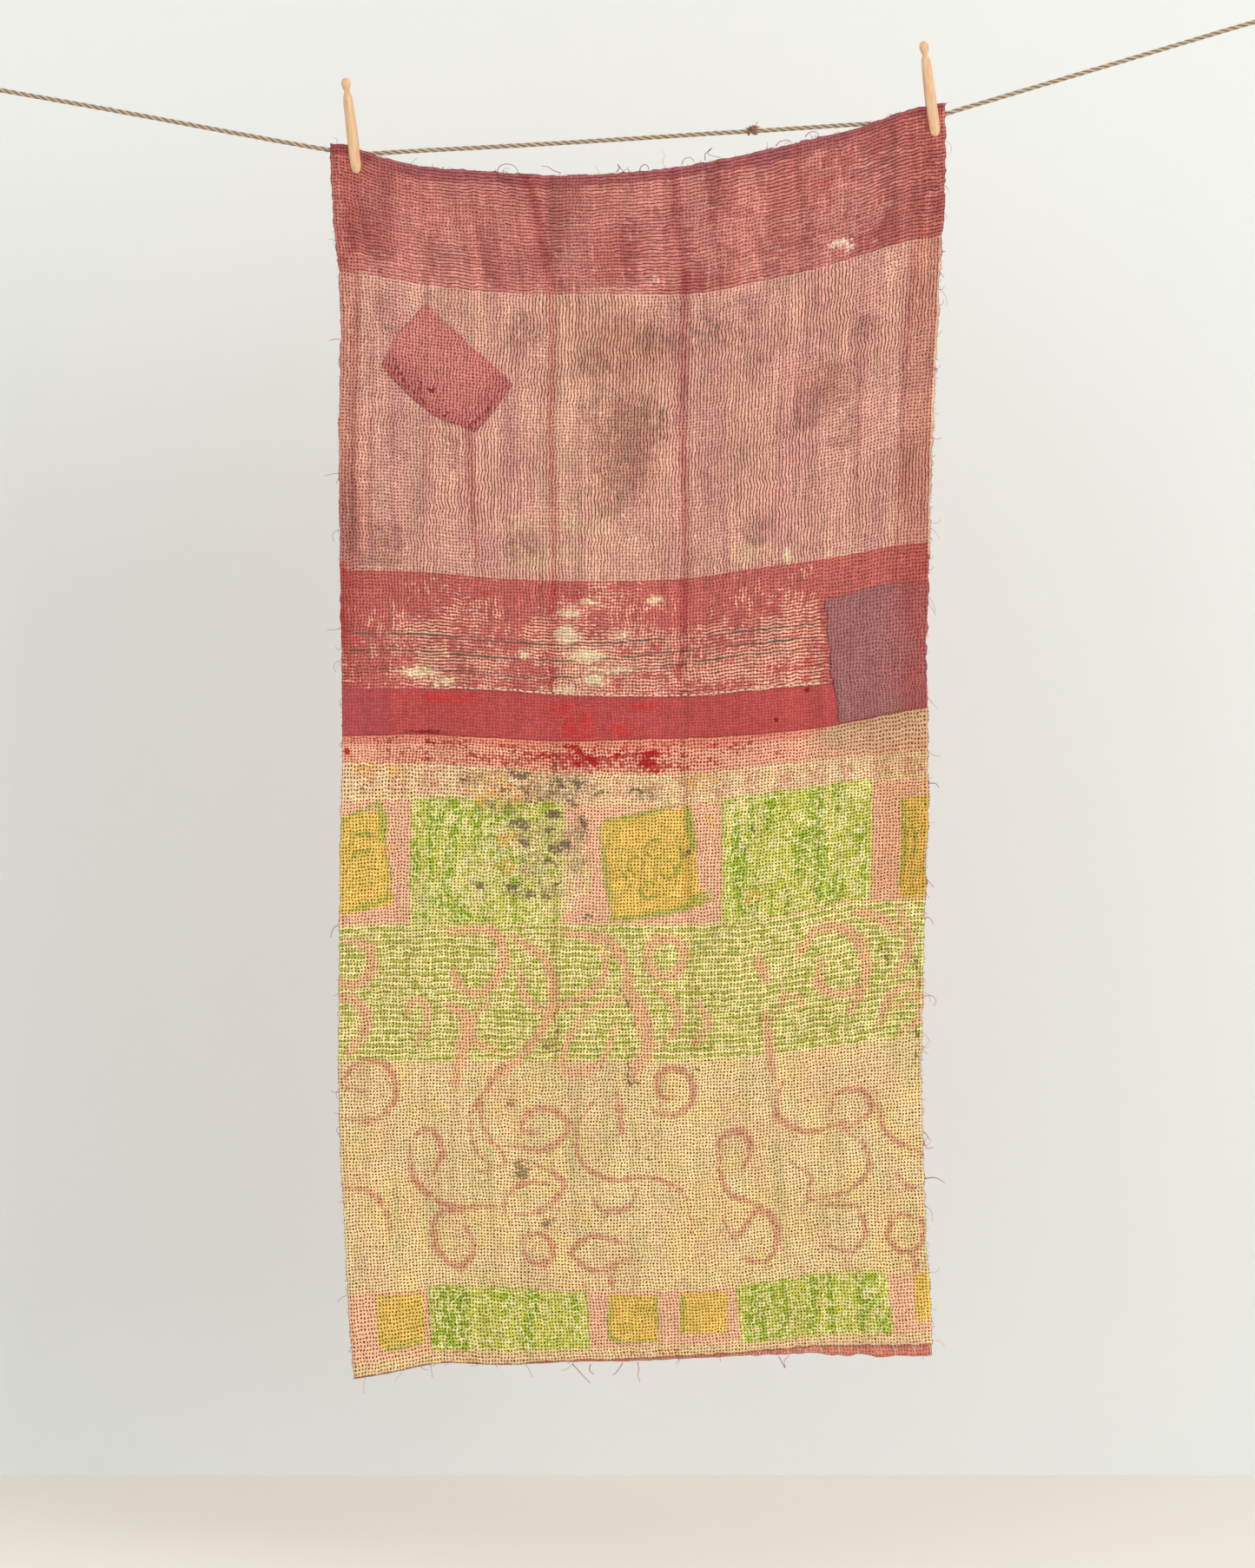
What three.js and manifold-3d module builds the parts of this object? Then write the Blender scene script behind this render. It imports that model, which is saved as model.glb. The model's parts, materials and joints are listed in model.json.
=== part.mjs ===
// A kantha cloth pegged on a rope line: a quilted cloth pieced from old saris, hung by its two top
// corners from a taut jute rope with two turned wooden pegs.
// Millimetres, +X to the right, +Z up, the front of the cloth towards -Y.
// The origin is the centre of the eye at the rope's left end.
import * as THREE from 'three';
import { mergeVertices } from 'three/addons/utils/BufferGeometryUtils.js';
import Module from 'manifold-3d';

const wasm = await Module();
wasm.setup();

// ---------------------------------------------------------------- driving dimensions

const PIECE_GAP = 0.3; // clear space between pieces that lie on each other

const rope = { radius: 2.75, sides: 8, steps: 64 };

const eye = { radius: 13.5, stretch: 1.3, toRope: 50, sides: 8, segments: 22 };

const knot = {
  coreRadius: 4.2,
  wrapRadius: 4.6,
  wraps: 4,
  wrapTilt: 14, // how far the middle wraps lean, in degrees
  tailLength: 24,
  tailRadius: 2.4,
  tailAt: 11,
};

// Facets of the rings that make the knots and the tie.
const RING_SIDES = 6;
const RING_SEGMENTS = 12;

const tie = { at: 929, ringRadius: 5, threadRadius: 1.2, beadRadius: 2.2 };
// The tie's two turns: how far each stands along the rope from the tie's middle, and its tilts.
const tieTurns = [
  { along: -2.6, aboutZ: 10, aboutY: 6 },
  { along: 2.6, aboutZ: -10, aboutY: 4 },
];
// The tips of the tie's two ends, which start at its knot in front of the rope.
const tieKnot = { x: 0, y: -5, z: 1 };
const tieEnds = [
  { x: -8, y: -6, z: 3 },
  { x: 8, y: -6, z: 2 },
];

const peg = {
  length: 111.2,
  slotLength: 71,
  slotWidth: 4.4,
  splay: 0.053, // how far each leg leans out for each millimetre below the slot's top
  clothGap: 0.35, // between the front leg and the cloth
  segments: 18,
};

const cloth = {
  left: 453, // x of the straight left edge from which the side offsets are measured
  width: 680, // between the two straight edges
  flatWidth: 695, // width of the cloth laid flat, over which `across` runs
  top: -78, // z from which every drop is measured
  ropeGap: 0.5, // between the back of the cloth and the rope
  panel: 1.2, // thickness of the two front panels
  backing: 1.0,
  patch: 1.0, // thickness of the strip and of the patches
  patchGap: 0.65, // a patch follows folds on its own grid, so it stands a little further off
  columns: 22,
  upperRows: 15,
  lowerRows: 16,
  stripRows: 2,
};
const CLOTH_BACK = -rope.radius - cloth.ropeGap;
const CLOTH_FRONT = CLOTH_BACK - cloth.backing - PIECE_GAP - cloth.panel;

// The cloth's cross lines: how far each hangs below cloth.top, at stations across the cloth.
// top and bottom are the cut edges, hem is the lower edge of the front panel, and strip and seam are
// the upper and lower edges of the red strip.
const crossLines = [
  { across: 0, top: -4, strip: 623, seam: 678, hem: 1417, bottom: 1418 },
  { across: 20, top: -3, strip: 623, seam: 677.5, hem: 1414, bottom: 1415 },
  { across: 40, top: 5, strip: 623, seam: 677, hem: 1411, bottom: 1412 },
  { across: 100, top: 21, strip: 623, seam: 676, hem: 1401, bottom: 1402 },
  { across: 170, top: 27.5, strip: 625, seam: 680, hem: 1402, bottom: 1403 },
  { across: 270, top: 33, strip: 631, seam: 683.5, hem: 1396, bottom: 1398 },
  { across: 350, top: 28.5, strip: 633, seam: 682, hem: 1391, bottom: 1397 },
  { across: 420, top: 18, strip: 632, seam: 680, hem: 1387, bottom: 1394.5 },
  { across: 490, top: 4, strip: 625.5, seam: 676, hem: 1383, bottom: 1392 },
  { across: 550, top: -11, strip: 620, seam: 670.5, hem: 1380, bottom: 1390 },
  { across: 600, top: -24, strip: 616, seam: 662.5, hem: 1380, bottom: 1391.5 },
  { across: 650, top: -42, strip: 612, seam: 652.5, hem: 1381, bottom: 1392 },
  { across: 695, top: -52, strip: 608, seam: 645, hem: 1379, bottom: 1390 },
];

// The side edges: how far each stands to the right of its straight line, down the cloth.
const sideEdges = [
  { drop: -55, left: -11, right: 18 },
  { drop: 0, left: -10, right: 18.5 },
  { drop: 55, left: -8, right: 18 },
  { drop: 90, left: -6, right: 15 },
  { drop: 145, left: 0, right: 13 },
  { drop: 210, left: 2, right: 9.5 },
  { drop: 330, left: 0, right: 4 },
  { drop: 450, left: 1, right: 1 },
  { drop: 590, left: 3, right: -3 },
  { drop: 680, left: 4, right: -1.5 },
  { drop: 780, left: 2, right: -1.5 },
  { drop: 890, left: 1, right: -5.5 },
  { drop: 1130, left: 1, right: -8 },
  { drop: 1230, left: 6, right: -4.4 },
  { drop: 1330, left: 11, right: 1 },
  { drop: 1420, left: 17, right: 6 },
];

// The cloth's folds: soft troughs (depth above 0) and ridges (below 0) that run down it. Each is
// centred at `across`, leans right by `lean` for each millimetre of drop, and is full between
// `from` and `to`, dying away over `fade` beyond them.
const folds = [
  { across: 55, lean: 0.01, width: 48, depth: 3.2, from: 120, to: 900, fade: 160 },
  { across: 140, lean: 0.015, width: 55, depth: -4.5, from: 160, to: 760, fade: 240 },
  { across: 240, lean: 0.018, width: 34, depth: 3.6, from: 40, to: 980, fade: 200 },
  { across: 320, lean: 0.02, width: 50, depth: -3.6, from: 60, to: 700, fade: 260 },
  { across: 395, lean: 0.035, width: 34, depth: 3.8, from: 40, to: 980, fade: 200 },
  { across: 500, lean: 0.02, width: 60, depth: -4.0, from: 140, to: 820, fade: 260 },
  { across: 610, lean: -0.01, width: 52, depth: 3.2, from: 200, to: 1000, fade: 220 },
  { across: 20, lean: 0, width: 60, depth: -6.5, from: 1330, to: 1420, fade: 300 },
  { across: 120, lean: 0, width: 62, depth: 7.5, from: 1340, to: 1420, fade: 260 },
  { across: 300, lean: 0, width: 80, depth: -5.0, from: 1250, to: 1420, fade: 300 },
  { across: 500, lean: 0, width: 85, depth: 4.5, from: 1250, to: 1420, fade: 300 },
  { across: 660, lean: 0, width: 60, depth: -6.0, from: 1200, to: 1420, fade: 320 },
  { across: 300, lean: 0, width: 190, depth: -5.5, from: 0, to: 30, fade: 140 },
];

// Round each peg the cloth is held flat: no fold reaches nearer than `flat`, and it is free at `free`.
const heldAt = [
  { across: 15, drop: 12, flat: 52, free: 170 },
  { across: 680, drop: -30, flat: 62, free: 180 },
];

// The diamond patch: its corners, each [across, drop], and how far its sides bow outwards. The bows
// point along and across a line turned by `turn` degrees.
const diamond = {
  top: [101, 179.5],
  right: [202, 267.5],
  bottom: [160, 324],
  left: [48.5, 254],
  lowerBow: 13,
  leftBow: 4.5,
  rightBow: 3,
  turn: 36.5,
  columns: 8,
  rows: 5,
};

// The mauve patch steps forward between `stepFrom` and `stepTo` above the red strip.
const mauve = { columns: 6, rows: 7, seamClear: 1.5, stepFrom: 40, stepTo: 20 };
const mauveSides = [
  { drop: 500, left: 573, right: 693 },
  { drop: 604, left: 582, right: 693 },
  { drop: 660, left: 591, right: 693 },
];
const mauveTop = [
  { across: 573, drop: 527 },
  { across: 648, drop: 503 },
  { across: 695, drop: 500 },
];

// The rope's route between its two end knots: nearly straight runs that turn at the two pegs.
const ropeRoute = [
  { x: 49.3, y: 0, z: -8.3 },
  { x: 103, y: 0, z: -17.9 },
  { x: 163, y: 0, z: -28.6 },
  { x: 223, y: 0, z: -39.6 },
  { x: 283, y: 0, z: -50.8 },
  { x: 343, y: 0, z: -62 },
  { x: 393, y: 0, z: -71.2 },
  { x: 433, y: 0, z: -78.2 },
  { x: 455, y: 0, z: -81.9 },
  { x: 471, y: 0, z: -84 },
  { x: 493, y: 0, z: -83.6 },
  { x: 523, y: 0, z: -81.8 },
  { x: 583, y: 0, z: -78.6 },
  { x: 643, y: 0, z: -75.4 },
  { x: 703, y: 0, z: -72 },
  { x: 763, y: 0, z: -68.3 },
  { x: 823, y: 0, z: -64.6 },
  { x: 883, y: 0, z: -60.6 },
  { x: 943, y: 0, z: -57.2 },
  { x: 1003, y: 0, z: -53.2 },
  { x: 1063, y: 0, z: -49.4 },
  { x: 1103, y: 0, z: -46.8 },
  { x: 1131, y: 0, z: -44 },
  { x: 1150, y: 0, z: -38.9 },
  { x: 1173, y: 0, z: -31.6 },
  { x: 1203, y: 0, z: -22.8 },
  { x: 1263, y: 0, z: -4.9 },
  { x: 1343, y: 0, z: 18.8 },
  { x: 1423, y: 0, z: 42.7 },
  { x: 1483, y: 0, z: 60.6 },
  { x: 1523, y: 0, z: 72.1 },
];

// Where each peg's slot ends at its top, and how far the peg leans to the left, in degrees.
const pegs = [
  { name: 'peg_left', x: 465.3, z: -37.5, lean: 6.8 },
  { name: 'peg_right', x: 1131.3, z: 4.8, lean: 7.4 },
];

// A peg's turned profile, from the top of its head to the tips of its legs.
const pegProfile = [
  { below: 0, radius: 0 },
  { below: 0.6, radius: 2.2 },
  { below: 2.5, radius: 4.3 },
  { below: 6, radius: 5.5 },
  { below: 9.5, radius: 5.2 },
  { below: 13, radius: 4.1 },
  { below: 15.5, radius: 3.3 },
  { below: 17, radius: 3.5 },
  { below: 20, radius: 4.6 },
  { below: 25, radius: 5.5 },
  { below: 37, radius: 6 },
  { below: 52, radius: 6.5 },
  { below: 70, radius: 6.7 },
  { below: 95, radius: 6.7 },
  { below: 104, radius: 6.2 },
  { below: 108.5, radius: 4.7 },
  { below: 110.6, radius: 2.4 },
  { below: peg.length, radius: 0 },
];

const finishes = {
  rose: { color: '#b5655e', roughness: 0.95, metalness: 0 },
  yellow: { color: '#dcbb7c', roughness: 0.95, metalness: 0 },
  red: { color: '#b34c49', roughness: 0.95, metalness: 0 },
  mauve: { color: '#96595b', roughness: 0.95, metalness: 0 },
  diamond: { color: '#c5786c', roughness: 0.95, metalness: 0 },
  backing: { color: '#c0605c', roughness: 0.95, metalness: 0 },
  jute: { color: '#a08a68', roughness: 0.9, metalness: 0 },
  beech: { color: '#e3b488', roughness: 0.6, metalness: 0 },
  thread: { color: '#6b4a3a', roughness: 0.9, metalness: 0 },
};

// ---------------------------------------------------------------- helpers

const group = new THREE.Group();

/** Adds a named mesh with its own material to a parent. */
function addPiece(name, geometry, finish, parent = group) {
  const mesh = new THREE.Mesh(geometry, new THREE.MeshStandardMaterial(finish));
  mesh.name = name;
  parent.add(mesh);
  return mesh;
}

/** A smooth function through one column of a table, held level past the table's ends. */
function curveThrough(rows, key, column) {
  const at = rows.map((row) => row[key]);
  const spline = new THREE.CubicInterpolant(at, rows.map((row) => row[column]), 1);
  return (t) => spline.evaluate(THREE.MathUtils.clamp(t, at[0], at[at.length - 1]))[0];
}

/** A manifold-3d solid of a closed geometry. */
function solidFrom(geometry) {
  const bare = new THREE.BufferGeometry();
  bare.setAttribute('position', geometry.getAttribute('position'));
  bare.setIndex(geometry.getIndex());
  const merged = mergeVertices(bare, 1e-4);
  return new wasm.Manifold(
    new wasm.Mesh({
      numProp: 3,
      vertProperties: new Float32Array(merged.attributes.position.array),
      triVerts: new Uint32Array(merged.index.array),
    }),
  );
}

/** A BufferGeometry of a manifold-3d solid. */
function geometryFrom(solid) {
  const mesh = solid.getMesh();
  const geometry = new THREE.BufferGeometry();
  geometry.setAttribute('position', new THREE.BufferAttribute(mesh.vertProperties, 3));
  geometry.setIndex(new THREE.BufferAttribute(mesh.triVerts, 1));
  geometry.computeVertexNormals();
  return geometry;
}

/** The union of several closed geometries, as one geometry. */
function joined(geometries) {
  return geometryFrom(geometries.map(solidFrom).reduce((whole, next) => whole.add(next)));
}

// ---------------------------------------------------------------- cloth

const line = {};
for (const name of ['top', 'strip', 'seam', 'hem', 'bottom']) {
  line[name] = curveThrough(crossLines, 'across', name);
}
const leftSide = curveThrough(sideEdges, 'drop', 'left');
const rightSide = curveThrough(sideEdges, 'drop', 'right');

/** How far a fold at full depth has grown or died away at this drop, from 0 to 1. */
function strength(fold, drop) {
  const into = THREE.MathUtils.smoothstep(drop, fold.from - fold.fade, fold.from);
  const out = THREE.MathUtils.smoothstep(drop, fold.to, fold.to + fold.fade);
  return into * (1 - out);
}

/** The cloth's folds at a point of it: how far it stands back from the flat. */
function relief(across, drop) {
  let depth = 0;
  for (const fold of folds) {
    const off = (across - fold.across - fold.lean * drop) / fold.width;
    depth += fold.depth * Math.exp(-off * off) * strength(fold, drop);
  }
  for (const held of heldAt) {
    const distance = Math.hypot(across - held.across, drop - held.drop);
    depth *= THREE.MathUtils.smoothstep(distance, held.flat, held.free);
  }
  return depth;
}

/** The point of the cloth's front face at `across` and `drop`. */
function onCloth(across, drop) {
  const from = cloth.left + leftSide(drop);
  const to = cloth.left + cloth.width + rightSide(drop);
  const x = THREE.MathUtils.lerp(from, to, across / cloth.flatWidth);
  return new THREE.Vector3(x, CLOTH_FRONT + relief(across, drop), cloth.top - drop);
}

/**
 * A thin closed sheet: place(s, t) gives the front face for s and t from 0 to 1, s to the right and
 * t downwards, and the back face stands `thickness` behind it.
 */
function sheet(columns, rows, thickness, place) {
  const positions = [];
  const indices = [];
  const across = columns + 1;
  const side = across * (rows + 1);
  for (const back of [0, thickness]) {
    for (let j = 0; j <= rows; j++) {
      for (let i = 0; i <= columns; i++) {
        const p = place(i / columns, j / rows);
        positions.push(p.x, p.y + back, p.z);
      }
    }
  }
  const quad = (a, b, c, d) => indices.push(a, b, c, a, c, d);
  for (let j = 0; j < rows; j++) {
    for (let i = 0; i < columns; i++) {
      const a = j * across + i;
      quad(a, a + across, a + across + 1, a + 1);
      quad(side + a, side + a + 1, side + a + across + 1, side + a + across);
    }
  }
  const wall = (a, b) => quad(a, b, side + b, side + a);
  for (let i = 0; i < columns; i++) {
    wall(i, i + 1);
    wall(rows * across + i + 1, rows * across + i);
  }
  for (let j = 0; j < rows; j++) {
    wall((j + 1) * across, j * across);
    wall(j * across + columns, (j + 1) * across + columns);
  }
  const geometry = new THREE.BufferGeometry();
  geometry.setAttribute('position', new THREE.Float32BufferAttribute(positions, 3));
  geometry.setIndex(indices);
  geometry.computeVertexNormals();
  return geometry;
}

/** A full-width sheet between two cross lines, `forward` of the panels' front face. */
function band(upper, lower, rows, thickness, forward) {
  return sheet(cloth.columns, rows, thickness, (s, t) => {
    const across = s * cloth.flatWidth;
    const p = onCloth(across, THREE.MathUtils.lerp(upper(across), lower(across), t));
    p.y -= forward;
    return p;
  });
}

// The panels meet under the strip, halfway down it.
const joinAbove = (across) => (line.strip(across) + line.seam(across) - PIECE_GAP) / 2;
const joinBelow = (across) => joinAbove(across) + PIECE_GAP;

addPiece('upper_panel', band(line.top, joinAbove, cloth.upperRows, cloth.panel, 0), finishes.rose);
addPiece('lower_panel', band(joinBelow, line.hem, cloth.lowerRows, cloth.panel, 0), finishes.yellow);

/** The backing keeps the two panels' rows, so that its facets lie along theirs, and has one row more. */
function backingSheet() {
  const stretches = [
    { from: line.top, to: joinAbove, rows: cloth.upperRows },
    { from: joinBelow, to: line.hem, rows: cloth.lowerRows },
    { from: line.hem, to: line.bottom, rows: 1 },
  ];
  const lines = [line.top];
  for (const { from, to, rows } of stretches) {
    for (let row = 1; row <= rows; row++) {
      lines.push((across) => THREE.MathUtils.lerp(from(across), to(across), row / rows));
    }
  }
  const behind = cloth.panel + PIECE_GAP;
  return sheet(cloth.columns, lines.length - 1, cloth.backing, (s, t) => {
    const across = s * cloth.flatWidth;
    const p = onCloth(across, lines[Math.round(t * (lines.length - 1))](across));
    p.y += behind;
    return p;
  });
}
addPiece('backing', backingSheet(), finishes.backing);

const stripForward = cloth.patch + PIECE_GAP;
addPiece(
  'red_strip',
  band(line.strip, line.seam, cloth.stripRows, cloth.patch, stripForward),
  finishes.red,
);

/** The diamond patch: four sides that bow a little, stood on a corner and laid on the upper panel. */
function diamondPatch() {
  const turn = THREE.MathUtils.degToRad(diamond.turn);
  const forward = cloth.patch + cloth.patchGap;
  const { lerp } = THREE.MathUtils;
  const between = (k, s, t) =>
    lerp(lerp(diamond.top[k], diamond.right[k], s), lerp(diamond.left[k], diamond.bottom[k], s), t);
  return sheet(diamond.columns, diamond.rows, cloth.patch, (s, t) => {
    const along = Math.sin(Math.PI * t) * lerp(-diamond.leftBow, diamond.rightBow, s);
    const over = Math.sin(Math.PI * s) * diamond.lowerBow * t;
    const p = onCloth(
      between(0, s, t) + along * Math.cos(turn) - over * Math.sin(turn),
      between(1, s, t) + along * Math.sin(turn) + over * Math.cos(turn),
    );
    p.y -= forward;
    return p;
  });
}
addPiece('diamond_patch', diamondPatch(), finishes.diamond);

/** The mauve patch: it covers the right end of the strip too, so it steps forward over that. */
function mauvePatch() {
  const top = curveThrough(mauveTop, 'across', 'drop');
  const left = curveThrough(mauveSides, 'drop', 'left');
  const right = curveThrough(mauveSides, 'drop', 'right');
  const onPanel = cloth.patch + cloth.patchGap;
  const overStrip = stripForward + cloth.patch + cloth.patchGap;
  return sheet(mauve.columns, mauve.rows, cloth.patch, (s, t) => {
    const middle = THREE.MathUtils.lerp(mauveSides[0].drop, mauveSides[2].drop, t);
    const across = THREE.MathUtils.lerp(left(middle), right(middle), s);
    const drop = THREE.MathUtils.lerp(top(across), line.seam(across) - mauve.seamClear, t);
    const p = onCloth(across, drop);
    const stripTop = line.strip(across);
    p.y -= THREE.MathUtils.lerp(
      onPanel,
      overStrip,
      THREE.MathUtils.smoothstep(drop, stripTop - mauve.stepFrom, stripTop - mauve.stepTo),
    );
    return p;
  });
}
addPiece('mauve_patch', mauvePatch(), finishes.mauve);

// ---------------------------------------------------------------- pegs

/** A turned peg, standing in +Z with the top of its slot at the origin, its legs spread. */
function pegGeometry() {
  const headTop = peg.length - peg.slotLength;
  const outline = pegProfile.map((row) => new THREE.Vector2(row.radius, headTop - row.below)).reverse();
  const turned = new THREE.LatheGeometry(outline, peg.segments);
  turned.rotateX(Math.PI / 2);

  const half = peg.slotWidth / 2;
  const past = 5; // the cutter runs this far past the tips and the sides
  const cutter = new THREE.Shape();
  cutter.moveTo(-half, -peg.slotLength - past);
  cutter.lineTo(half, -peg.slotLength - past);
  cutter.lineTo(half, -half);
  cutter.absarc(0, -half, half, 0, Math.PI);
  cutter.closePath();
  const deep = 2 * (Math.max(...pegProfile.map((row) => row.radius)) + past);
  const slot = new THREE.ExtrudeGeometry(cutter, { depth: deep, bevelEnabled: false, curveSegments: 8 });
  slot.translate(0, 0, -deep / 2);
  slot.rotateX(Math.PI / 2); // the two turns carry the shape's x, y and depth to y, z and x
  slot.rotateZ(Math.PI / 2);

  const geometry = geometryFrom(solidFrom(turned).subtract(solidFrom(slot)));
  const points = geometry.getAttribute('position');
  for (let i = 0; i < points.count; i++) {
    const below = Math.max(0, -points.getZ(i));
    points.setY(i, points.getY(i) + Math.sign(points.getY(i)) * peg.splay * below);
  }
  geometry.computeVertexNormals();
  return geometry;
}

for (const { name, x, z, lean } of pegs) {
  const mesh = addPiece(name, pegGeometry(), finishes.beech);
  // The peg leans in until its front leg lies along the cloth, and then to the left.
  mesh.rotation.order = 'YXZ';
  mesh.rotation.set(Math.asin(peg.splay), -THREE.MathUtils.degToRad(lean), 0);
  mesh.position.set(x, CLOTH_FRONT - peg.clothGap + peg.slotWidth / 2, z);
}

// ---------------------------------------------------------------- rope

const route = new THREE.CatmullRomCurve3(
  ropeRoute.map(({ x, y, z }) => new THREE.Vector3(x, y, z)),
  false,
  'centripetal',
);

/** A round section of the rope's size. */
function ropeSection(radius) {
  const section = new THREE.Shape();
  section.setFromPoints(
    Array.from({ length: rope.sides }, (_, i) => {
      const angle = (2 * Math.PI * i) / rope.sides;
      return new THREE.Vector2(radius * Math.cos(angle), radius * Math.sin(angle));
    }),
  );
  return section;
}

addPiece(
  'rope',
  new THREE.ExtrudeGeometry(ropeSection(rope.radius), { steps: rope.steps, extrudePath: route }),
  finishes.jute,
);

/** A ring of rope or thread round the X axis at x, tilted by degrees about Z and about Y. */
function ring(radius, tube, x, aboutZ, aboutY) {
  const made = new THREE.TorusGeometry(radius, tube, RING_SIDES, RING_SEGMENTS);
  made.rotateY(Math.PI / 2);
  made.rotateZ(THREE.MathUtils.degToRad(aboutZ));
  made.rotateY(THREE.MathUtils.degToRad(aboutY));
  made.translate(x, 0, 0);
  return made;
}

/** A round stub from one point to another. */
function stub(from, to, radius) {
  const length = from.distanceTo(to);
  const made = new THREE.CylinderGeometry(radius, radius, length, rope.sides);
  made.applyQuaternion(
    new THREE.Quaternion().setFromUnitVectors(
      new THREE.Vector3(0, 1, 0),
      to.clone().sub(from).normalize(),
    ),
  );
  const middle = from.clone().add(to).multiplyScalar(0.5);
  made.translate(middle.x, middle.y, middle.z);
  return made;
}

/**
 * The end knot: wraps round the rope between the eye and the rope's end, with a short tail that hangs
 * along Z, towards +Z where hang is 1 and towards -Z where it is -1.
 */
function knotGeometry(hang) {
  const from = (eye.radius + rope.radius) * eye.stretch + PIECE_GAP;
  const to = eye.toRope - PIECE_GAP;
  const pitch = (to - from - 2 * rope.radius) / (knot.wraps - 1);
  const pieces = [
    stub(new THREE.Vector3(from, 0, 0), new THREE.Vector3(to, 0, 0), knot.coreRadius),
    stub(
      new THREE.Vector3(from + knot.tailAt, 0, hang * knot.wrapRadius),
      new THREE.Vector3(from + knot.tailAt, 0, hang * (knot.wrapRadius + knot.tailLength)),
      knot.tailRadius,
    ),
  ];
  for (let i = 0; i < knot.wraps; i++) {
    const outermost = i === 0 || i === knot.wraps - 1;
    const tilt = outermost ? 0 : knot.wrapTilt * (i % 2 ? 1 : -1);
    pieces.push(ring(knot.wrapRadius, rope.radius, from + rope.radius + i * pitch, tilt, tilt / 2));
  }
  return joined(pieces);
}

/** One end of the line: an eye with its centre at `centre`, and a knot towards `ropeEnd`. */
function lineEnd(side, centre, ropeEnd) {
  const end = new THREE.Group();
  end.position.copy(centre);
  const towards = ropeEnd.clone().sub(centre);
  end.rotation.y = Math.atan2(-towards.z, towards.x);
  const hang = -Math.sign(Math.cos(end.rotation.y)); // an end that faces left is turned upside down
  const loop = new THREE.TorusGeometry(eye.radius, rope.radius, eye.sides, eye.segments);
  loop.rotateX(Math.PI / 2);
  loop.scale(eye.stretch, 1, 1);
  group.add(end);
  addPiece(`${side}_loop`, loop, finishes.jute, end);
  addPiece(`${side}_knot`, knotGeometry(hang), finishes.jute, end);
}

const leftEnd = route.getPoint(0);
const rightEnd = route.getPoint(1);
const rightEye = rightEnd.clone().addScaledVector(route.getTangent(1), eye.toRope);
lineEnd('left', new THREE.Vector3(0, 0, 0), leftEnd);
lineEnd('right', rightEye, rightEnd);

/** The scrap of yarn tied round the rope: two turns, their knot in front and two short ends. */
function ropeTie() {
  const front = new THREE.Vector3(tieKnot.x, tieKnot.y, tieKnot.z);
  const bead = new THREE.SphereGeometry(tie.beadRadius, rope.sides, RING_SIDES);
  bead.translate(front.x, front.y, front.z);
  const turns = tieTurns.map(({ along, aboutZ, aboutY }) =>
    ring(tie.ringRadius, tie.threadRadius, along, aboutZ, aboutY),
  );
  const ends = tieEnds.map(({ x, y, z }) => stub(front, new THREE.Vector3(x, y, z), tie.threadRadius));
  return joined([bead, ...turns, ...ends]);
}

/** The place on the rope's route at a given x, and the route's slope there. */
function ropeAt(x) {
  const next = ropeRoute.findIndex((row) => row.x > x);
  const [a, b] = [ropeRoute[next - 1], ropeRoute[next]];
  const slope = (b.z - a.z) / (b.x - a.x);
  return { z: a.z + slope * (x - a.x), slope };
}
const tieMesh = addPiece('rope_tie', ropeTie(), finishes.thread);
const tiePlace = ropeAt(tie.at);
tieMesh.rotation.y = -Math.atan(tiePlace.slope);
tieMesh.position.set(tie.at, 0, tiePlace.z);

export default group;
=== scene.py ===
"""A kantha cloth pegged on a rope line: its finished surfaces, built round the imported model.

A worn, pieced quilted cloth hangs by its two top corners from a taut jute line, held by two turned
wooden pegs. Tables and sizes are in millimetres, and MM turns them to metres. A place on the cloth is
(across, down): millimetres from its left edge, and millimetres down its middle, counted from the level
HangingCloth.top. Elsewhere on the cloth its drop below that level differs, as CROSS_LINES tells. The
front of the cloth faces -Y.
"""

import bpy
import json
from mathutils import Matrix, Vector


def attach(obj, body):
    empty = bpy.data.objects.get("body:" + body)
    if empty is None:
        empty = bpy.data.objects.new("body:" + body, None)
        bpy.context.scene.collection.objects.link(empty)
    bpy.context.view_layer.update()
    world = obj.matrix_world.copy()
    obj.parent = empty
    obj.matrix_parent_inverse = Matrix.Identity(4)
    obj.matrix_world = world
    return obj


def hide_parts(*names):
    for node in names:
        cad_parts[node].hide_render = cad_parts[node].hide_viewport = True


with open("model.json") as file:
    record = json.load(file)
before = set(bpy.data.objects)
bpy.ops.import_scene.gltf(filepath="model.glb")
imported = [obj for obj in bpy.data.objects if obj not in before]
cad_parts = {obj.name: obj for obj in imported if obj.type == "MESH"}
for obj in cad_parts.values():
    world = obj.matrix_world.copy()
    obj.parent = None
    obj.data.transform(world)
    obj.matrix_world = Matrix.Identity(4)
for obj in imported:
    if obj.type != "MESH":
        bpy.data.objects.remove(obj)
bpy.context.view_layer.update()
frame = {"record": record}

import json
import logging
import math
from dataclasses import dataclass
from enum import Enum
from typing import Any, Callable

import bpy
import numpy as np

Array, Random = np.ndarray, np.random.Generator
Pair = tuple[float, float]
Tree, Socket = bpy.types.NodeTree, bpy.types.NodeSocket
Finish, Piece = bpy.types.Material, bpy.types.Object
log = logging.getLogger("kantha")

MM = 0.001
BODY = "root"
WIDTH = 695.0  # the cloth's, laid flat
FAR = 99.0  # a distance that no layer reaches

# Sockets of the Mix node when it mixes colours, and how a Map Range node is made soft.
FACTOR, FIRST, SECOND, MIXED = 0, 6, 7, 2
SOFT = {"interpolation_type": "SMOOTHSTEP"}

# --- small numpy tools ---


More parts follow.
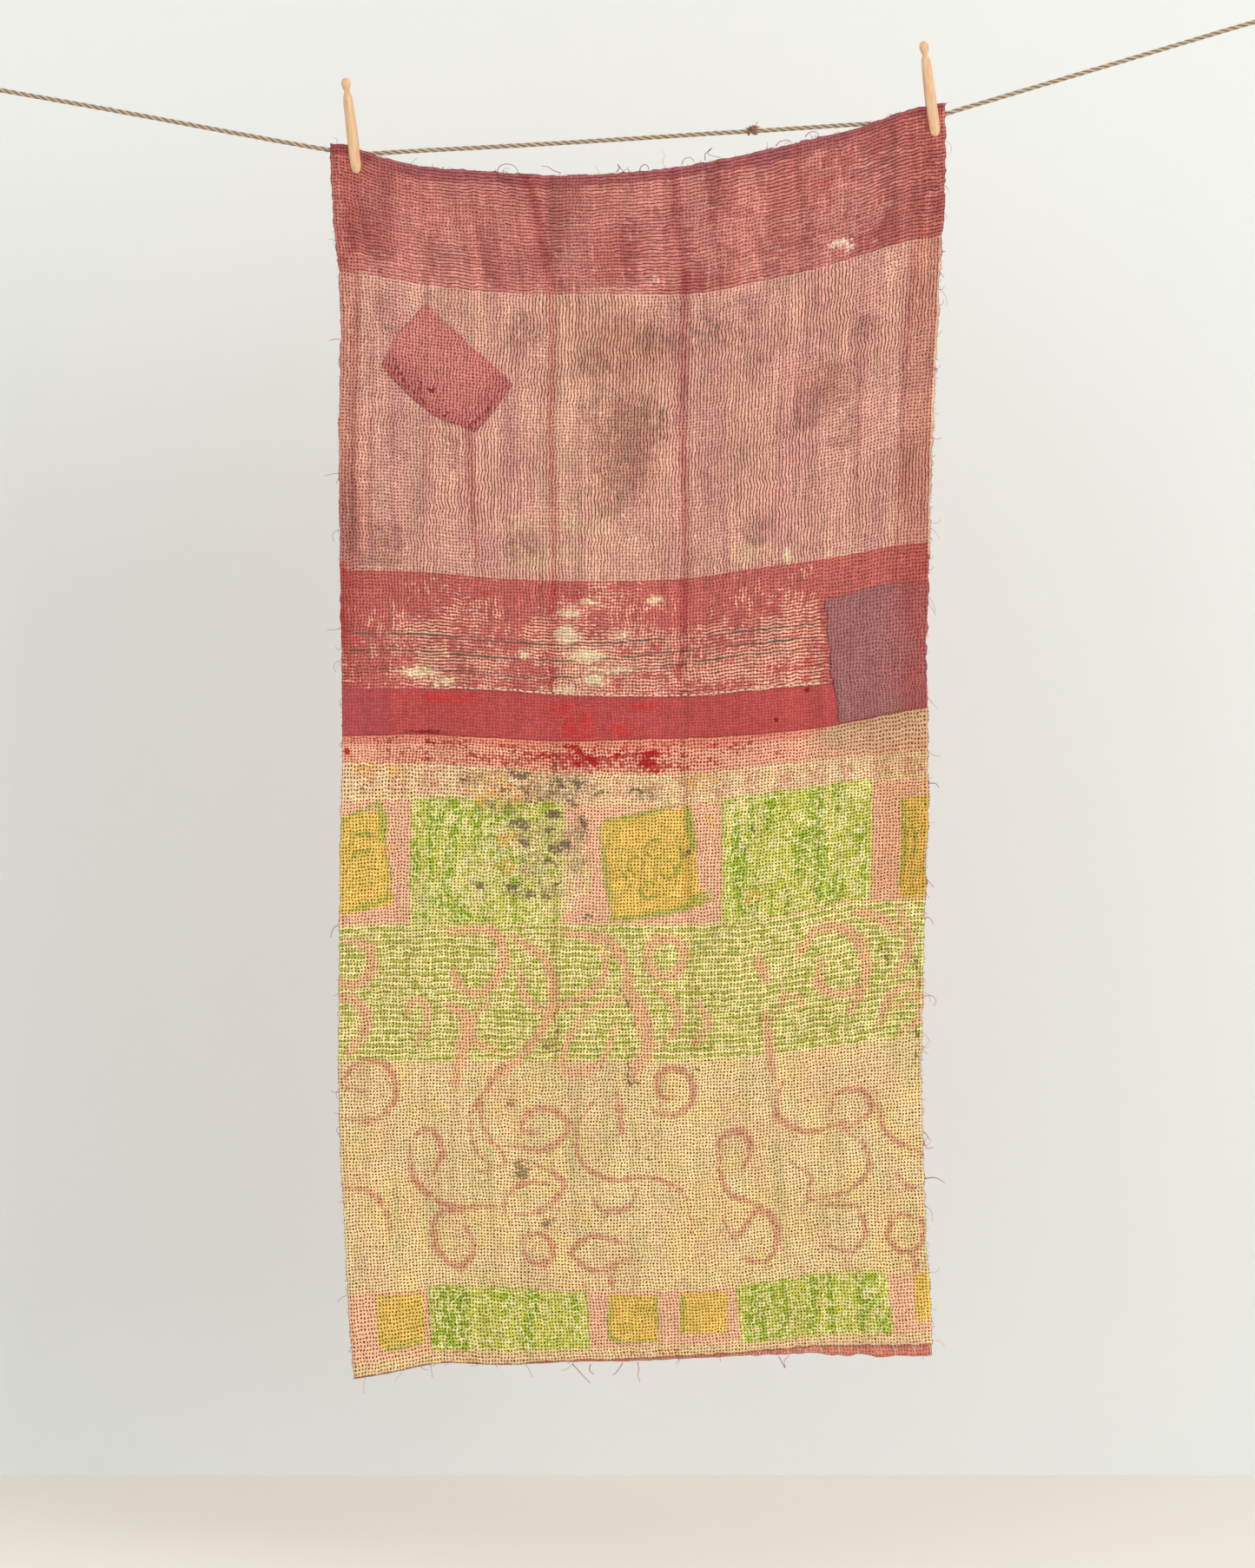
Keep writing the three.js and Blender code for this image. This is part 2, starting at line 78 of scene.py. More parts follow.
def smooth_step(low: float, high: float, value: Array) -> Array:
    """0 at low, 1 at high, and t*t*(3-2t) between them; low may be the larger."""
    t = np.clip((value - low) / (high - low), 0.0, 1.0)
    return t * t * (3.0 - 2.0 * t)


def curve_through(at: Any, values: Any, where: Array) -> Array:
    """A smooth curve through points, held level past its two ends.

    Between two points it is the cubic whose slope at each is the mean slope round that point.

    Args:
        at: the points' places, rising.
        values: the points' values.
        where: the places wanted.

    Returns:
        The curve's values there.
    """
    at, values = np.asarray(at, float), np.asarray(values, float)
    slope = np.gradient(values, at)
    place = np.clip(where, at[0], at[-1])
    k = np.clip(np.searchsorted(at, place, side="right") - 1, 0, len(at) - 2)
    step = at[k + 1] - at[k]
    t = (place - at[k]) / step
    ahead = t * t * (3 - 2 * t) * values[k + 1] + t * t * (t - 1) * step * slope[k + 1]
    return (1 + 2 * t) * (1 - t) ** 2 * values[k] + t * (1 - t) ** 2 * step * slope[k] + ahead


def ripple(across: Array, down: Array, size: Pair, seed: int) -> Array:
    """A smooth random field from -1 to 1: random values on a grid, blended by smooth_step weights.

    Args:
        across: places across.
        down: places down.
        size: the grid's spacing across and down.
        seed: which random grid.

    Returns:
        The field at those places.
    """
    table = np.random.default_rng(seed).uniform(-1.0, 1.0, (128, 128))
    x, y = across / size[0] + 500.0, down / size[1] + 500.0
    i, j = np.floor(x).astype(int), np.floor(y).astype(int)
    s, t = smooth_step(0.0, 1.0, x - i), smooth_step(0.0, 1.0, y - j)
    i, j, k, m = i % 128, j % 128, (i + 1) % 128, (j + 1) % 128
    upper = table[i, j] * (1 - s) + table[k, j] * s
    lower = table[i, m] * (1 - s) + table[k, m] * s
    return upper * (1 - t) + lower * t


def bell(value: Array, middle: float, width: float) -> Array:
    """The bell curve exp(-t*t), where t is the way from the middle in widths."""
    return np.exp(-(((value - middle) / width) ** 2))


def unit(vectors: Array) -> Array:
    """The vectors at length 1."""
    return vectors / np.maximum(np.linalg.norm(vectors, axis=-1, keepdims=True), 1e-12)


def square_to(along: Array, outward: Array) -> tuple[Array, Array]:
    """Two unit directions square to `along`: the one nearest to `outward`, and their cross product."""
    first = unit(outward - (outward * along).sum(-1, keepdims=True) * along)
    return first, np.cross(along, first)


def facing(places: Array, y: float = -1.0) -> Array:
    """The direction to the front, or with y = 1 to the back, at each place."""
    return np.broadcast_to(np.array([0.0, y, 0.0]), places.shape)


def flat_places(first: Array, second: Array) -> Array:
    """Two fields as vectors (first, second, 0)."""
    return np.stack([first, second, np.zeros(first.shape)], -1)


def box_distance(across: Array, down: Array, middle: Pair, half: Pair, turn: float) -> Array:
    """Signed distance to a turned rectangle: the way out past its corner, or minus the way in.

    Args:
        across: places across.
        down: places down.
        middle: the rectangle's middle.
        half: half its width and half its height.
        turn: its turn in degrees, positive from across towards down.

    Returns:
        The distances, negative inside.
    """
    c, s = math.cos(math.radians(turn)), math.sin(math.radians(turn))
    x, y = across - middle[0], down - middle[1]
    dx, dy = np.abs(x * c + y * s) - half[0], np.abs(y * c - x * s) - half[1]
    return np.hypot(np.maximum(dx, 0), np.maximum(dy, 0)) + np.minimum(np.maximum(dx, dy), 0)


def spot_distance(across: Array, down: Array, spots: Any) -> Array:
    """Signed distance, nearly, to the nearest of several ovals: (across, down, half width, half height).

    Args:
        across: places across.
        down: the same places' `down`.
        spots: the ovals, one a row.

    Returns:
        The distances, negative inside.
    """
    nearest = np.full(np.shape(across), FAR)
    for middle_across, middle_down, wide, high in spots:
        reach = np.hypot((across - middle_across) / wide, (down - middle_down) / high)
        nearest = np.minimum(nearest, (reach - 1.0) * min(wide, high))
    return nearest


# --- meshes ---


def build_piece(
    name: str,
    points: Array,
    faces: Array,
    material: Finish,
    slot: str,
    nodes: tuple[str, ...] = (),
    attributes: dict[str, Array] | None = None,
    bake_map: Array | None = None,
) -> Piece:
    """Puts whole arrays into a new smooth mesh at the origin, and rides it on the body.

    Args:
        name: the piece's name.
        points: N x 3, in mm.
        faces: F x 3 or F x 4 numbers of points, turning left as seen from outside.
        material: its finish.
        slot: its material slot; not used.
        nodes: the CAD nodes that it replaces.
        attributes: by name, at each point a number, a vector of 3 or a linear colour of 4.
        bake_map: N x 2 places from 0 to 1, the flat map that the finish is baked on.

    Returns:
        The piece.
    """
    mesh = bpy.data.meshes.new(name)
    sides = faces.shape[1]
    mesh.vertices.add(len(points))
    mesh.vertices.foreach_set("co", (points * MM).astype(np.float32).ravel())
    mesh.loops.add(faces.size)
    mesh.loops.foreach_set("vertex_index", faces.astype(np.int32).ravel())
    mesh.polygons.add(len(faces))
    mesh.polygons.foreach_set("loop_start", np.arange(0, faces.size, sides, dtype=np.int32))
    mesh.polygons.foreach_set("loop_total", np.full(len(faces), sides, np.int32))
    mesh.polygons.foreach_set("use_smooth", np.ones(len(faces), bool))
    mesh.update(calc_edges=True)
    kinds = {1: ("FLOAT", "value"), 3: ("FLOAT_VECTOR", "vector"), 4: ("FLOAT_COLOR", "color")}
    for key, values in (attributes or {}).items():
        kind, part = kinds[values.size // len(points)]
        mesh.attributes.new(key, kind, "POINT").data.foreach_set(part, values.astype(np.float32).ravel())
    if bake_map is not None:
        uv = mesh.uv_layers.new(name="OFBake")
        uv.data.foreach_set("uv", bake_map[faces.ravel()].astype(np.float32).ravel())
    mesh.materials.append(material)
    piece = bpy.data.objects.new(name, mesh)
    bpy.context.scene.collection.objects.link(piece)
    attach(piece, BODY)
    if nodes:
        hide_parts(*nodes)
    log.info("%-24s %7d points, replaces %s", name, len(points), nodes or "nothing")
    return piece


def build_threads(
    name: str, points: Array, faces: Array, dyes: Array, material: Finish, slot: str, **more: Any
) -> Piece:
    """A piece of threads, whose dyes, as linear colours of 3, are shared out evenly over its points.

    Args:
        name: the piece's name.
        points: N x 3, in mm.
        faces: F x 3 numbers of points.
        dyes: one colour for each point, or for each run of as many points.
        material: its finish.
        slot: its material slot, handed to build_piece, which does not use it.
        more: nodes and bake_map, as for build_piece.

    Returns:
        The piece.
    """
    shades = np.ones((len(points), 4))
    shades[:, :3] = np.repeat(dyes, len(points) // len(dyes), 0)
    return build_piece(name, points, faces, material, slot, attributes={"dye": shades}, **more)


def shell(front: Array, back: Array) -> tuple[Array, Array]:
    """A closed sheet from two grids of the same shape, joined by walls round their edges.

    Args:
        front: R x C x 3 points of the front face, rows running down and columns to the right.
        back: the points behind them.

    Returns:
        Its points, and its faces with four corners each.
    """
    rows, columns = front.shape[:2]
    number = np.arange(rows * columns).reshape(rows, columns)
    a, b, c, d = number[:-1, :-1], number[1:, :-1], number[1:, 1:], number[:-1, 1:]
    fronts = np.stack([a, b, c, d], -1).reshape(-1, 4)
    backs = np.stack([a, d, c, b], -1).reshape(-1, 4) + rows * columns
    rim = np.concatenate([number[0, :], number[1:, -1], number[-1, -2::-1], number[-2:0:-1, 0]])
    onward = np.roll(rim, -1)
    walls = np.stack([rim, onward, onward + rows * columns, rim + rows * columns], -1)
    points = np.concatenate([front.reshape(-1, 3), back.reshape(-1, 3)])
    return points, np.concatenate([fronts, backs, walls])


def tubes(
    paths: Array, radius: Any, sides: int, outward: Array, closed: bool = False
) -> tuple[Array, Array]:
    """Round tubes along many paths at once.

    At each point of a path the section is a circle in the plane of `outward` and its cross product
    with the path's direction. Open tubes end in a fan that meets at the path's own end point.

    Args:
        paths: N x K x 3 points.
        radius: one radius, or N x K of them.
        sides: corners of the section.
        outward: N x K x 3, a direction at each point that isn't along the path.
        closed: whether each path runs round to its first point.

    Returns:
        The points and the triangles.
    """
    count, steps = paths.shape[:2]
    along = np.roll(paths, -1, 1) - np.roll(paths, 1, 1) if closed else np.gradient(paths, axis=1)
    first, second = square_to(unit(along), outward)
    angle = (2 * math.pi * np.arange(sides) / sides)[None, None, :, None]
    ring = first[:, :, None] * np.cos(angle) + second[:, :, None] * np.sin(angle)
    reach = np.broadcast_to(radius, (count, steps))[:, :, None, None]
    points = (paths[:, :, None] + ring * reach).reshape(count, -1, 3)
    number = np.arange(steps * sides).reshape(steps, sides)
    here, there = (number, np.roll(number, -1, 0)) if closed else (number[:-1], number[1:])
    quads = np.stack([here, np.roll(here, -1, 1), np.roll(there, -1, 1), there], -1).reshape(-1, 4)
    if not closed:
        points = np.concatenate([points, paths[:, :1], paths[:, -1:]], axis=1)
        tail, tip = np.full(sides, steps * sides), np.full(sides, steps * sides + 1)
        low, high = number[0], number[-1]
        tails = np.stack([tail, np.roll(low, -1), low, low], -1)
        tips = np.stack([tip, high, np.roll(high, -1), np.roll(high, -1)], -1)
        quads = np.concatenate([quads, tails, tips])
    faces = quads[None] + points.shape[1] * np.arange(count)[:, None, None]
    return points.reshape(-1, 3), as_triangles(faces.reshape(-1, 4))


def as_triangles(faces: Array) -> Array:
    """Each face with four corners as two triangles, leaving out those with a repeated corner.

    Args:
        faces: F x 4 numbers of points.

    Returns:
        The triangles.
    """
    halves = np.concatenate([faces[:, [0, 1, 2]], faces[:, [0, 2, 3]]])
    a, b, c = halves.T
    return halves[(a != b) & (b != c) & (c != a)]


def gathered(parts: list[tuple[Array, ...]]) -> tuple[Array, ...]:
    """Several parts as one, each of them its points, its triangles and any values at its points.

    Args:
        parts: the parts.

    Returns:
        The points, the triangles and the values.
    """
    starts = np.cumsum([0] + [len(part[0]) for part in parts[:-1]])
    faces = np.concatenate([part[1] + start for part, start in zip(parts, starts)])
    points, _, *values = (np.concatenate(column) for column in zip(*parts))
    return points, faces, *values


# --- materials ---


def colour(code: str) -> tuple[float, float, float, float]:
    """An sRGB hex code as a linear colour.

    Args:
        code: a hash and six hex digits.

    Returns:
        Red, green, blue and an alpha of 1.
    """
    parts = [int(code[i : i + 2], 16) / 255 for i in (1, 3, 5)]
    linear = [p / 12.92 if p <= 0.04045 else ((p + 0.055) / 1.055) ** 2.4 for p in parts]
    return (linear[0], linear[1], linear[2], 1.0)


def dye_of(code: str) -> Array:
    """An sRGB hex code as a thread's dye."""
    return np.array(colour(code)[:3])


def add_node(tree: Tree, kind: str, inputs: Any = (), take: Any = 0, **settings: Any) -> Any:
    """Adds a node to a tree, with its settings and links.

    Args:
        tree: the material's node tree.
        kind: the node's type, without the ShaderNode before it.
        inputs: values, or other nodes' outputs to link, in the sockets' order or by name or number.
        take: the name or number of the output wanted.
        settings: the node's own settings.

    Returns:
        That output, or None from a node that has none.
    """
    node = tree.nodes.new("ShaderNode" + kind)
    for name, value in settings.items():
        setattr(node, name, value)
    for key, value in inputs.items() if isinstance(inputs, dict) else enumerate(inputs):
        if isinstance(value, Socket):
            tree.links.new(value, node.inputs[key])
        else:
            node.inputs[key].default_value = value
    return node.outputs[take] if node.outputs else None


def new_material(name: str) -> tuple[Finish, Tree]:
    """An empty node material and its tree.

    Args:
        name: the material's name.

    Returns:
        The material and its tree.
    """
    material = bpy.data.materials.new(name)
    material.use_nodes = True
    material.node_tree.nodes.clear()
    return material, material.node_tree


class Blend(Enum):
    """How a layer lies on what is under it: it hides it, or tints it."""

    COVER = "MIX"
    TINT = "MULTIPLY"


class Pattern(Enum):
    """What breaks a layer up inside its own outline."""

    PLAIN = "plain"
    STRIPES = "stripes"
    VINES = "vines"
    BLOTCHES = "blotches"
    ROWS = "rows"
    WEAVE = "weave"


class Height(Enum):
    """Where on the puckered cloth a layer lies: the wave's height where it starts and where it is full."""

    ALL = None
    CROWNS = (0.25, -0.3)
    DIPS = (-0.3, 0.25)


@dataclass(frozen=True)
class Layer:
    """A printed, patched, faded or stained layer. It lies where the distance of its name is negative.

    Each layer has two colours, as puckered cloth does: of the puffs that stand up between the
    stitches, and of the valleys that the stitches pull down. The valleys' darker colour is partly the
    dye kept in the dips and partly painted shade of the dips. `soft` is the fade at its edge, `wander`
    how far noise of `grain` size moves that edge, `repeat` the size of what its pattern repeats, all in
    mm, and `cover` its share of what shows.
    """

    name: str
    puff: str
    valley: str
    soft: float = 1.5
    wander: float = 1.5
    grain: float = 9.0
    cover: float = 1.0
    pattern: Pattern = Pattern.PLAIN
    repeat: float = 0.0
    blend: Blend = Blend.COVER
    height: Height = Height.ALL


@dataclass(frozen=True)
class QuiltedCotton:
    """Old plain-weave sari cotton, quilted by hand with running stitch.

    The eye sees a lattice of small dark dips about 3.8 mm apart, soft puffs between them, each a
    little lighter or darker than the next, whole rows and columns of them that catch the light,
    streaks where the cloth has thinned, and no gloss but the faint bloom of worn cotton. The dips'
    dark colour is partly painted shade, and the rows and columns are painted lighter and darker as
    painted light and shade.
    """

    name: str
    puff: str
    valley: str
    layers: tuple[Layer, ...] = ()
    depth: float = 1.0  # how strongly the puffs and dips show
    dips: Pair = (0.05, 0.8)  # the wave's height where a dip starts and where it is full
    loose: float = 0.6  # how far the stitches stray from their rows, in the shader alone
    speckle: float = 0.24  # how much neighbouring puffs differ
    lines: float = 0.2  # how much rows and columns differ: painted light and shade, as they catch the light
    streak: float = 0.16  # how much the tone changes from streak to streak
    dip_shade: tuple[float, float, float] = (1.0, 1.0, 1.0)  # how bright the dips stay: red, green, blue
    grain_mm: float = 1.3  # threads, drawn coarser than the real 0.4 mm so that they show
    puff_mm: float = 0.55

    def build(self) -> Finish:
        """Makes the material, which reads the attributes `flat`, `stitch`, `rib` and one for each layer.

        Returns:
            The material.
        """
        material, tree = new_material(self.name)
        flat = add_node(tree, "Attribute", take="Vector", attribute_name="flat")
        stitch = self._stitch_place(tree, flat)
        rib = add_node(tree, "Attribute", take="Fac", attribute_name="rib")
        upright = add_node(tree, "MapRange", (rib, -1.0, 1.0, 0.12, 0.88), clamp=False)
        wave = self._wave(tree, flat, stitch, upright)
        valley = add_node(tree, "MapRange", (wave, *self.dips, 0.0, self.depth), **SOFT)
        up, dip = self._ground(tree, flat, stitch, wave)
        tone = self._tone(tree, flat, stitch, upright)
        # The dips are tinted by dip_shade, a painted shade; then puffs and dips are mixed, the dips' darker
        # colour partly kept dye and partly painted shade.
        shade = {FACTOR: 1.0, FIRST: dip, SECOND: (*self.dip_shade, 1.0)}
        dip = add_node(tree, "Mix", shade, MIXED, data_type="RGBA", blend_type=Blend.TINT.value)
        shown = add_node(tree, "Mix", {FACTOR: valley, FIRST: up, SECOND: dip}, MIXED, data_type="RGBA")
        toned = {FACTOR: 1.0, FIRST: shown, SECOND: tone}
        toned = add_node(tree, "Mix", toned, MIXED, data_type="RGBA", blend_type=Blend.TINT.value)
        looks = {
            "Base Color": toned,
            "Roughness": 0.92,
            "Normal": self._bump(tree, flat, valley),
            "Specular IOR Level": 0.25,
            "Sheen Weight": 0.12,
            "Sheen Roughness": 0.5,
        }
        add_node(tree, "OutputMaterial", {"Surface": add_node(tree, "BsdfPrincipled", looks)})
        return material

    def _stitch_place(self, tree: Tree, flat: Socket) -> Socket:
        """The place counted in stitches, moved by noise by up to about a quarter of a stitch.

        Args:
            tree: the material's node tree.
            flat: the place on the cloth, in mm.

        Returns:
            The output that holds it.
        """
        sway = add_node(tree, "TexNoise", {"Vector": flat, "Scale": 1 / 4.6, "Detail": 1.0}, "Color")
        middle = add_node(tree, "VectorMath", (sway, (0.5, 0.5, 0.5)), operation="SUBTRACT")
        counted = add_node(tree, "Attribute", take="Vector", attribute_name="stitch")
        reach = (self.loose, self.loose, 0.0)
        return add_node(tree, "VectorMath", (middle, reach, counted), operation="MULTIPLY_ADD")

    def _wave(self, tree: Tree, flat: Socket, stitch: Socket, upright: Socket) -> Socket:
        """Where the cloth dips: the weighted sum of a cosine across and a cosine down, from -1 to 1.

        Equal weights give round dips at the stitches, more weight across gives upright ribs, and more
        weight down gives level rows. Noise makes the dips uneven.

        Args:
            tree: the material's node tree.
            flat: the place on the cloth, in mm.
            stitch: the place counted in stitches.
            upright: how far ribs stand upright here, from 0 to 1.

        Returns:
            The output that holds it.
        """
        turned = add_node(tree, "VectorMath", {0: stitch, "Scale": 2 * math.pi}, operation="SCALE")
        places = add_node(tree, "SeparateXYZ", (turned,)).node.outputs
        down, across = (add_node(tree, "Math", (places[axis],), operation="COSINE") for axis in (1, 0))
        wave = add_node(tree, "Mix", {FACTOR: upright, 2: down, 3: across})
        uneven = add_node(tree, "TexNoise", {"Vector": flat, "Scale": 1 / 3.4, "Detail": 1.0})
        centred = add_node(tree, "Math", (uneven, 0.5), operation="SUBTRACT")
        return add_node(tree, "Math", (wave, centred), operation="ADD")

    def _ground(self, tree: Tree, flat: Socket, stitch: Socket, wave: Socket) -> list[Any]:
        """The two colours, of puffs and of dips, after every layer is laid on.

        Args:
            tree: the material's node tree.
            flat: the place on the cloth, in mm.
            stitch: the place counted in stitches.
            wave: the wave's height.

        Returns:
            The outputs that hold them.
        """
        chain: list[Any] = [colour(self.puff), colour(self.valley)]
        for layer in self.layers:
            mask = self._mask(tree, flat, stitch, layer)
            if layer.height.value:
                held = add_node(tree, "MapRange", (wave, *layer.height.value, 0.0, 1.0), **SOFT)
                mask = add_node(tree, "Math", (mask, held), operation="MULTIPLY")
            for side, code in enumerate((layer.puff, layer.valley)):
                laid = {FACTOR: mask, FIRST: chain[side], SECOND: colour(code)}
                way = layer.blend.value
                chain[side] = add_node(tree, "Mix", laid, MIXED, data_type="RGBA", blend_type=way)
        return chain

    def _mask(self, tree: Tree, flat: Socket, stitch: Socket, layer: Layer) -> Socket:
        """How much of a layer shows: its distance, moved by noise, falls through a soft threshold.

        Args:
            tree: the material's node tree.
            flat: the place on the cloth, in mm.
            stitch: the place counted in stitches.
            layer: the layer.

        Returns:
            The output that holds it.
        """
        ragged = add_node(tree, "TexNoise", {"Vector": flat, "Scale": 1 / layer.grain, "Detail": 2.0})
        moved = (ragged, 4 * layer.wander, -2 * layer.wander)
        moved = add_node(tree, "Math", moved, operation="MULTIPLY_ADD")
        away = add_node(tree, "Attribute", take="Fac", attribute_name=layer.name)
        edge = add_node(tree, "Math", (away, moved), operation="ADD")
        mask = add_node(tree, "MapRange", (edge, layer.soft, -layer.soft, 0.0, 1.0), **SOFT)
        if layer.pattern is Pattern.PLAIN:
            return add_node(tree, "Math", (mask, layer.cover), operation="MULTIPLY")
        if layer.pattern in (Pattern.ROWS, Pattern.WEAVE):
            rows, columns = self._lines(tree, flat, stitch, layer.repeat)
            if layer.pattern is Pattern.WEAVE:
                rows = add_node(tree, "Math", (rows, columns), operation="MAXIMUM")
            lowered = add_node(tree, "Math", (rows, 0.24), operation="SUBTRACT")
            grown = add_node(tree, "Math", (mask, 0.3, lowered), operation="MULTIPLY_ADD")
            broken = add_node(tree, "MapRange", (grown, 0.42, 0.6, 0.0, layer.cover), **SOFT)
            inside = add_node(tree, "MapRange", (mask, 0.0, 0.25, 0.0, 1.0), **SOFT)
            return add_node(tree, "Math", (broken, inside), operation="MULTIPLY")
        broken = self._pattern(tree, flat, stitch, layer)
        share = add_node(tree, "Math", (broken, layer.cover), operation="MULTIPLY")
        return add_node(tree, "Math", (mask, share), operation="MULTIPLY")

    def _lines(self, tree: Tree, flat: Socket, stitch: Socket, length: float) -> list[Socket]:
        """Two fields from 0 to 1 that keep to the rows and to the columns between stitches.

        Each is smooth noise along its row or column, `length` mm long, and jumps from one to the next.

        Args:
            tree: the material's node tree.
            flat: the place on the cloth, in mm.
            stitch: the place counted in stitches.
            length: how long the noise is along a row, in mm.

        Returns:
            The outputs that hold them.
        """
        found = []
        cell = add_node(tree, "VectorMath", (stitch,), operation="FLOOR")
        for along, jump in (((1 / length, 0, 0), (0, 7.3, 0)), ((0, 0.5 / length, 0), (7.3, 0, 0))):
            place = add_node(tree, "VectorMath", (flat, along), operation="MULTIPLY")
            place = add_node(tree, "VectorMath", (cell, jump, place), operation="MULTIPLY_ADD")
            found.append(add_node(tree, "TexNoise", {"Vector": place, "Scale": 1.0, "Detail": 1.0}))
        return found

    def _pattern(self, tree: Tree, flat: Socket, stitch: Socket, layer: Layer) -> Socket:
        """What breaks the layer up inside, from 0 to 1.

        Args:
            tree: the material's node tree.
            flat: the place on the cloth, in mm.
            stitch: the place counted in stitches.
            layer: the layer.

        Returns:
            The output that holds it.
        """
        size = {"Vector": flat, "Scale": 1 / layer.repeat}
        if layer.pattern is Pattern.STRIPES:
            # Every other row of stitches, as the print and the rows nearly agree; broad noise bends the
            # stripes a little, finer noise and upright threads thin them.
            row = add_node(tree, "SeparateXYZ", (stitch,), 1)
            bend = add_node(tree, "TexNoise", {**size, "Detail": 1.0})
            turned = add_node(tree, "Math", (row, math.pi), operation="MULTIPLY")
            turned = add_node(tree, "Math", (bend, 9.0, turned), operation="MULTIPLY_ADD")
            wave = add_node(tree, "Math", (turned,), operation="COSINE")
            columns = self._lines(tree, flat, stitch, 9.0)[1]
            worn = add_node(tree, "TexNoise", {"Vector": flat, "Scale": 1 / 11, "Detail": 3.0})
            thinned = add_node(tree, "Math", (columns, -5.0, wave), operation="MULTIPLY_ADD")
            value = add_node(tree, "Math", (worn, -5.0, thinned), operation="MULTIPLY_ADD")
            low, high = -5.6, -3.9
        elif layer.pattern is Pattern.VINES:
            # Contour lines of smooth noise: thin curling lines, as a printed vine.
            curl = add_node(tree, "TexNoise", {**size, "Detail": 1.5, "Distortion": 0.7})
            centred = add_node(tree, "Math", (curl, 0.5), operation="SUBTRACT")
            value, low, high = add_node(tree, "Math", (centred,), operation="ABSOLUTE"), 0.075, 0.025
        else:
            value, low, high = add_node(tree, "TexNoise", {**size, "Detail": 3.0}), 0.46, 0.58
        return add_node(tree, "MapRange", (value, low, high, 0.0, 1.0), **SOFT)

    def _tone(self, tree: Tree, flat: Socket, stitch: Socket, upright: Socket) -> Socket:
        """A grey tint round 1: painted light and shade on rows and columns, and the cloth's own tone in
        single puffs, streaks, broad patches and threads.

        Args:
            tree: the material's node tree.
            flat: the place on the cloth, in mm.
            stitch: the place counted in stitches.
            upright: how far ribs stand upright here, from 0 to 1.

        Returns:
            The output that holds it.
        """
        rows, columns = self._lines(tree, flat, stitch, 24.0)
        cell = add_node(tree, "VectorMath", (stitch,), operation="FLOOR")
        # Long thin streaks run down the cloth: their width and length, and their noise's detail.
        fields = []
        for width, length, detail in ((13, 260, 2.0), (3.0, 110, 1.0)):
            place = add_node(tree, "Mapping", {"Vector": flat, "Scale": (1 / width, 1 / length, 1)})
            fields.append(add_node(tree, "TexNoise", {"Vector": place, "Scale": 1.0, "Detail": detail}))
        for size, detail in ((55, 2.0), (self.grain_mm, 1.0)):
            fields.append(add_node(tree, "TexNoise", {"Vector": flat, "Scale": 1 / size, "Detail": detail}))
        streaks, fine, patches, threads = fields
        # The rows and columns entry is painted light and shade; the others are the cloth's own tone.
        shares = (
            (add_node(tree, "Mix", {FACTOR: upright, 2: rows, 3: columns}), 0.3, 0.7, self.lines),
            (add_node(tree, "TexWhiteNoise", (cell,)), 0.0, 1.0, self.speckle),
            (streaks, 0.25, 0.75, self.streak),
            (fine, 0.25, 0.75, 0.7 * self.streak),
            (patches, 0.25, 0.75, 0.8 * self.streak),
            (threads, 0.25, 0.75, 0.25),
        )
        value: Any = 1.0
        for field, low, high, share in shares:
            step = add_node(tree, "MapRange", (field, low, high, 1 - share / 2, 1 + share / 2), clamp=False)
            value = add_node(tree, "Math", (value, step), operation="MULTIPLY")
        return value

    def _bump(self, tree: Tree, flat: Socket, valley: Socket) -> Socket:
        """Puffs that stand `puff_mm` above the dips, with the threads' own roughness on them.

        Args:
            tree: the material's node tree.
            flat: the place on the cloth, in mm.
            valley: how deep in a dip the place is, from 0 to 1.

        Returns:
            The normal.
        """
        threads = add_node(tree, "TexNoise", {"Vector": flat, "Scale": 1 / self.grain_mm, "Detail": 2.0})
        raised = add_node(tree, "Math", (threads, 0.35, 1.0), operation="MULTIPLY_ADD")
        height = add_node(tree, "Math", (raised, valley), operation="SUBTRACT")
        return add_node(tree, "Bump", {"Strength": 0.8, "Distance": self.puff_mm * MM, "Height": height})


@dataclass(frozen=True)
class SpunThread:
    """Soft spun cotton thread. The eye sees a dull fibre whose dye changes from place to place."""

    name: str = "spun cotton thread"
    roughness: float = 0.9
    fibre_mm: float = 1.1

    def build(self) -> Finish:
        """Makes the material, which reads each point's own `dye`.

        Returns:
            The material.
        """
        material, tree = new_material(self.name)
        dye = add_node(tree, "Attribute", take="Color", attribute_name="dye")
        spot = add_node(tree, "TexCoord", take="Object")
        fibre = add_node(tree, "TexNoise", {"Vector": spot, "Scale": 1 / self.fibre_mm / MM, "Detail": 1.0})
        tone = add_node(tree, "MapRange", (fibre, 0.3, 0.7, 0.82, 1.15))
        toned = {FACTOR: 1.0, FIRST: dye, SECOND: tone}
        toned = add_node(tree, "Mix", toned, MIXED, data_type="RGBA", blend_type=Blend.TINT.value)
        looks = {
            "Base Color": toned,
            "Roughness": self.roughness,
            "Specular IOR Level": 0.2,
            "Sheen Weight": 0.15,
        }
        add_node(tree, "OutputMaterial", {"Surface": add_node(tree, "BsdfPrincipled", looks)})
        return material


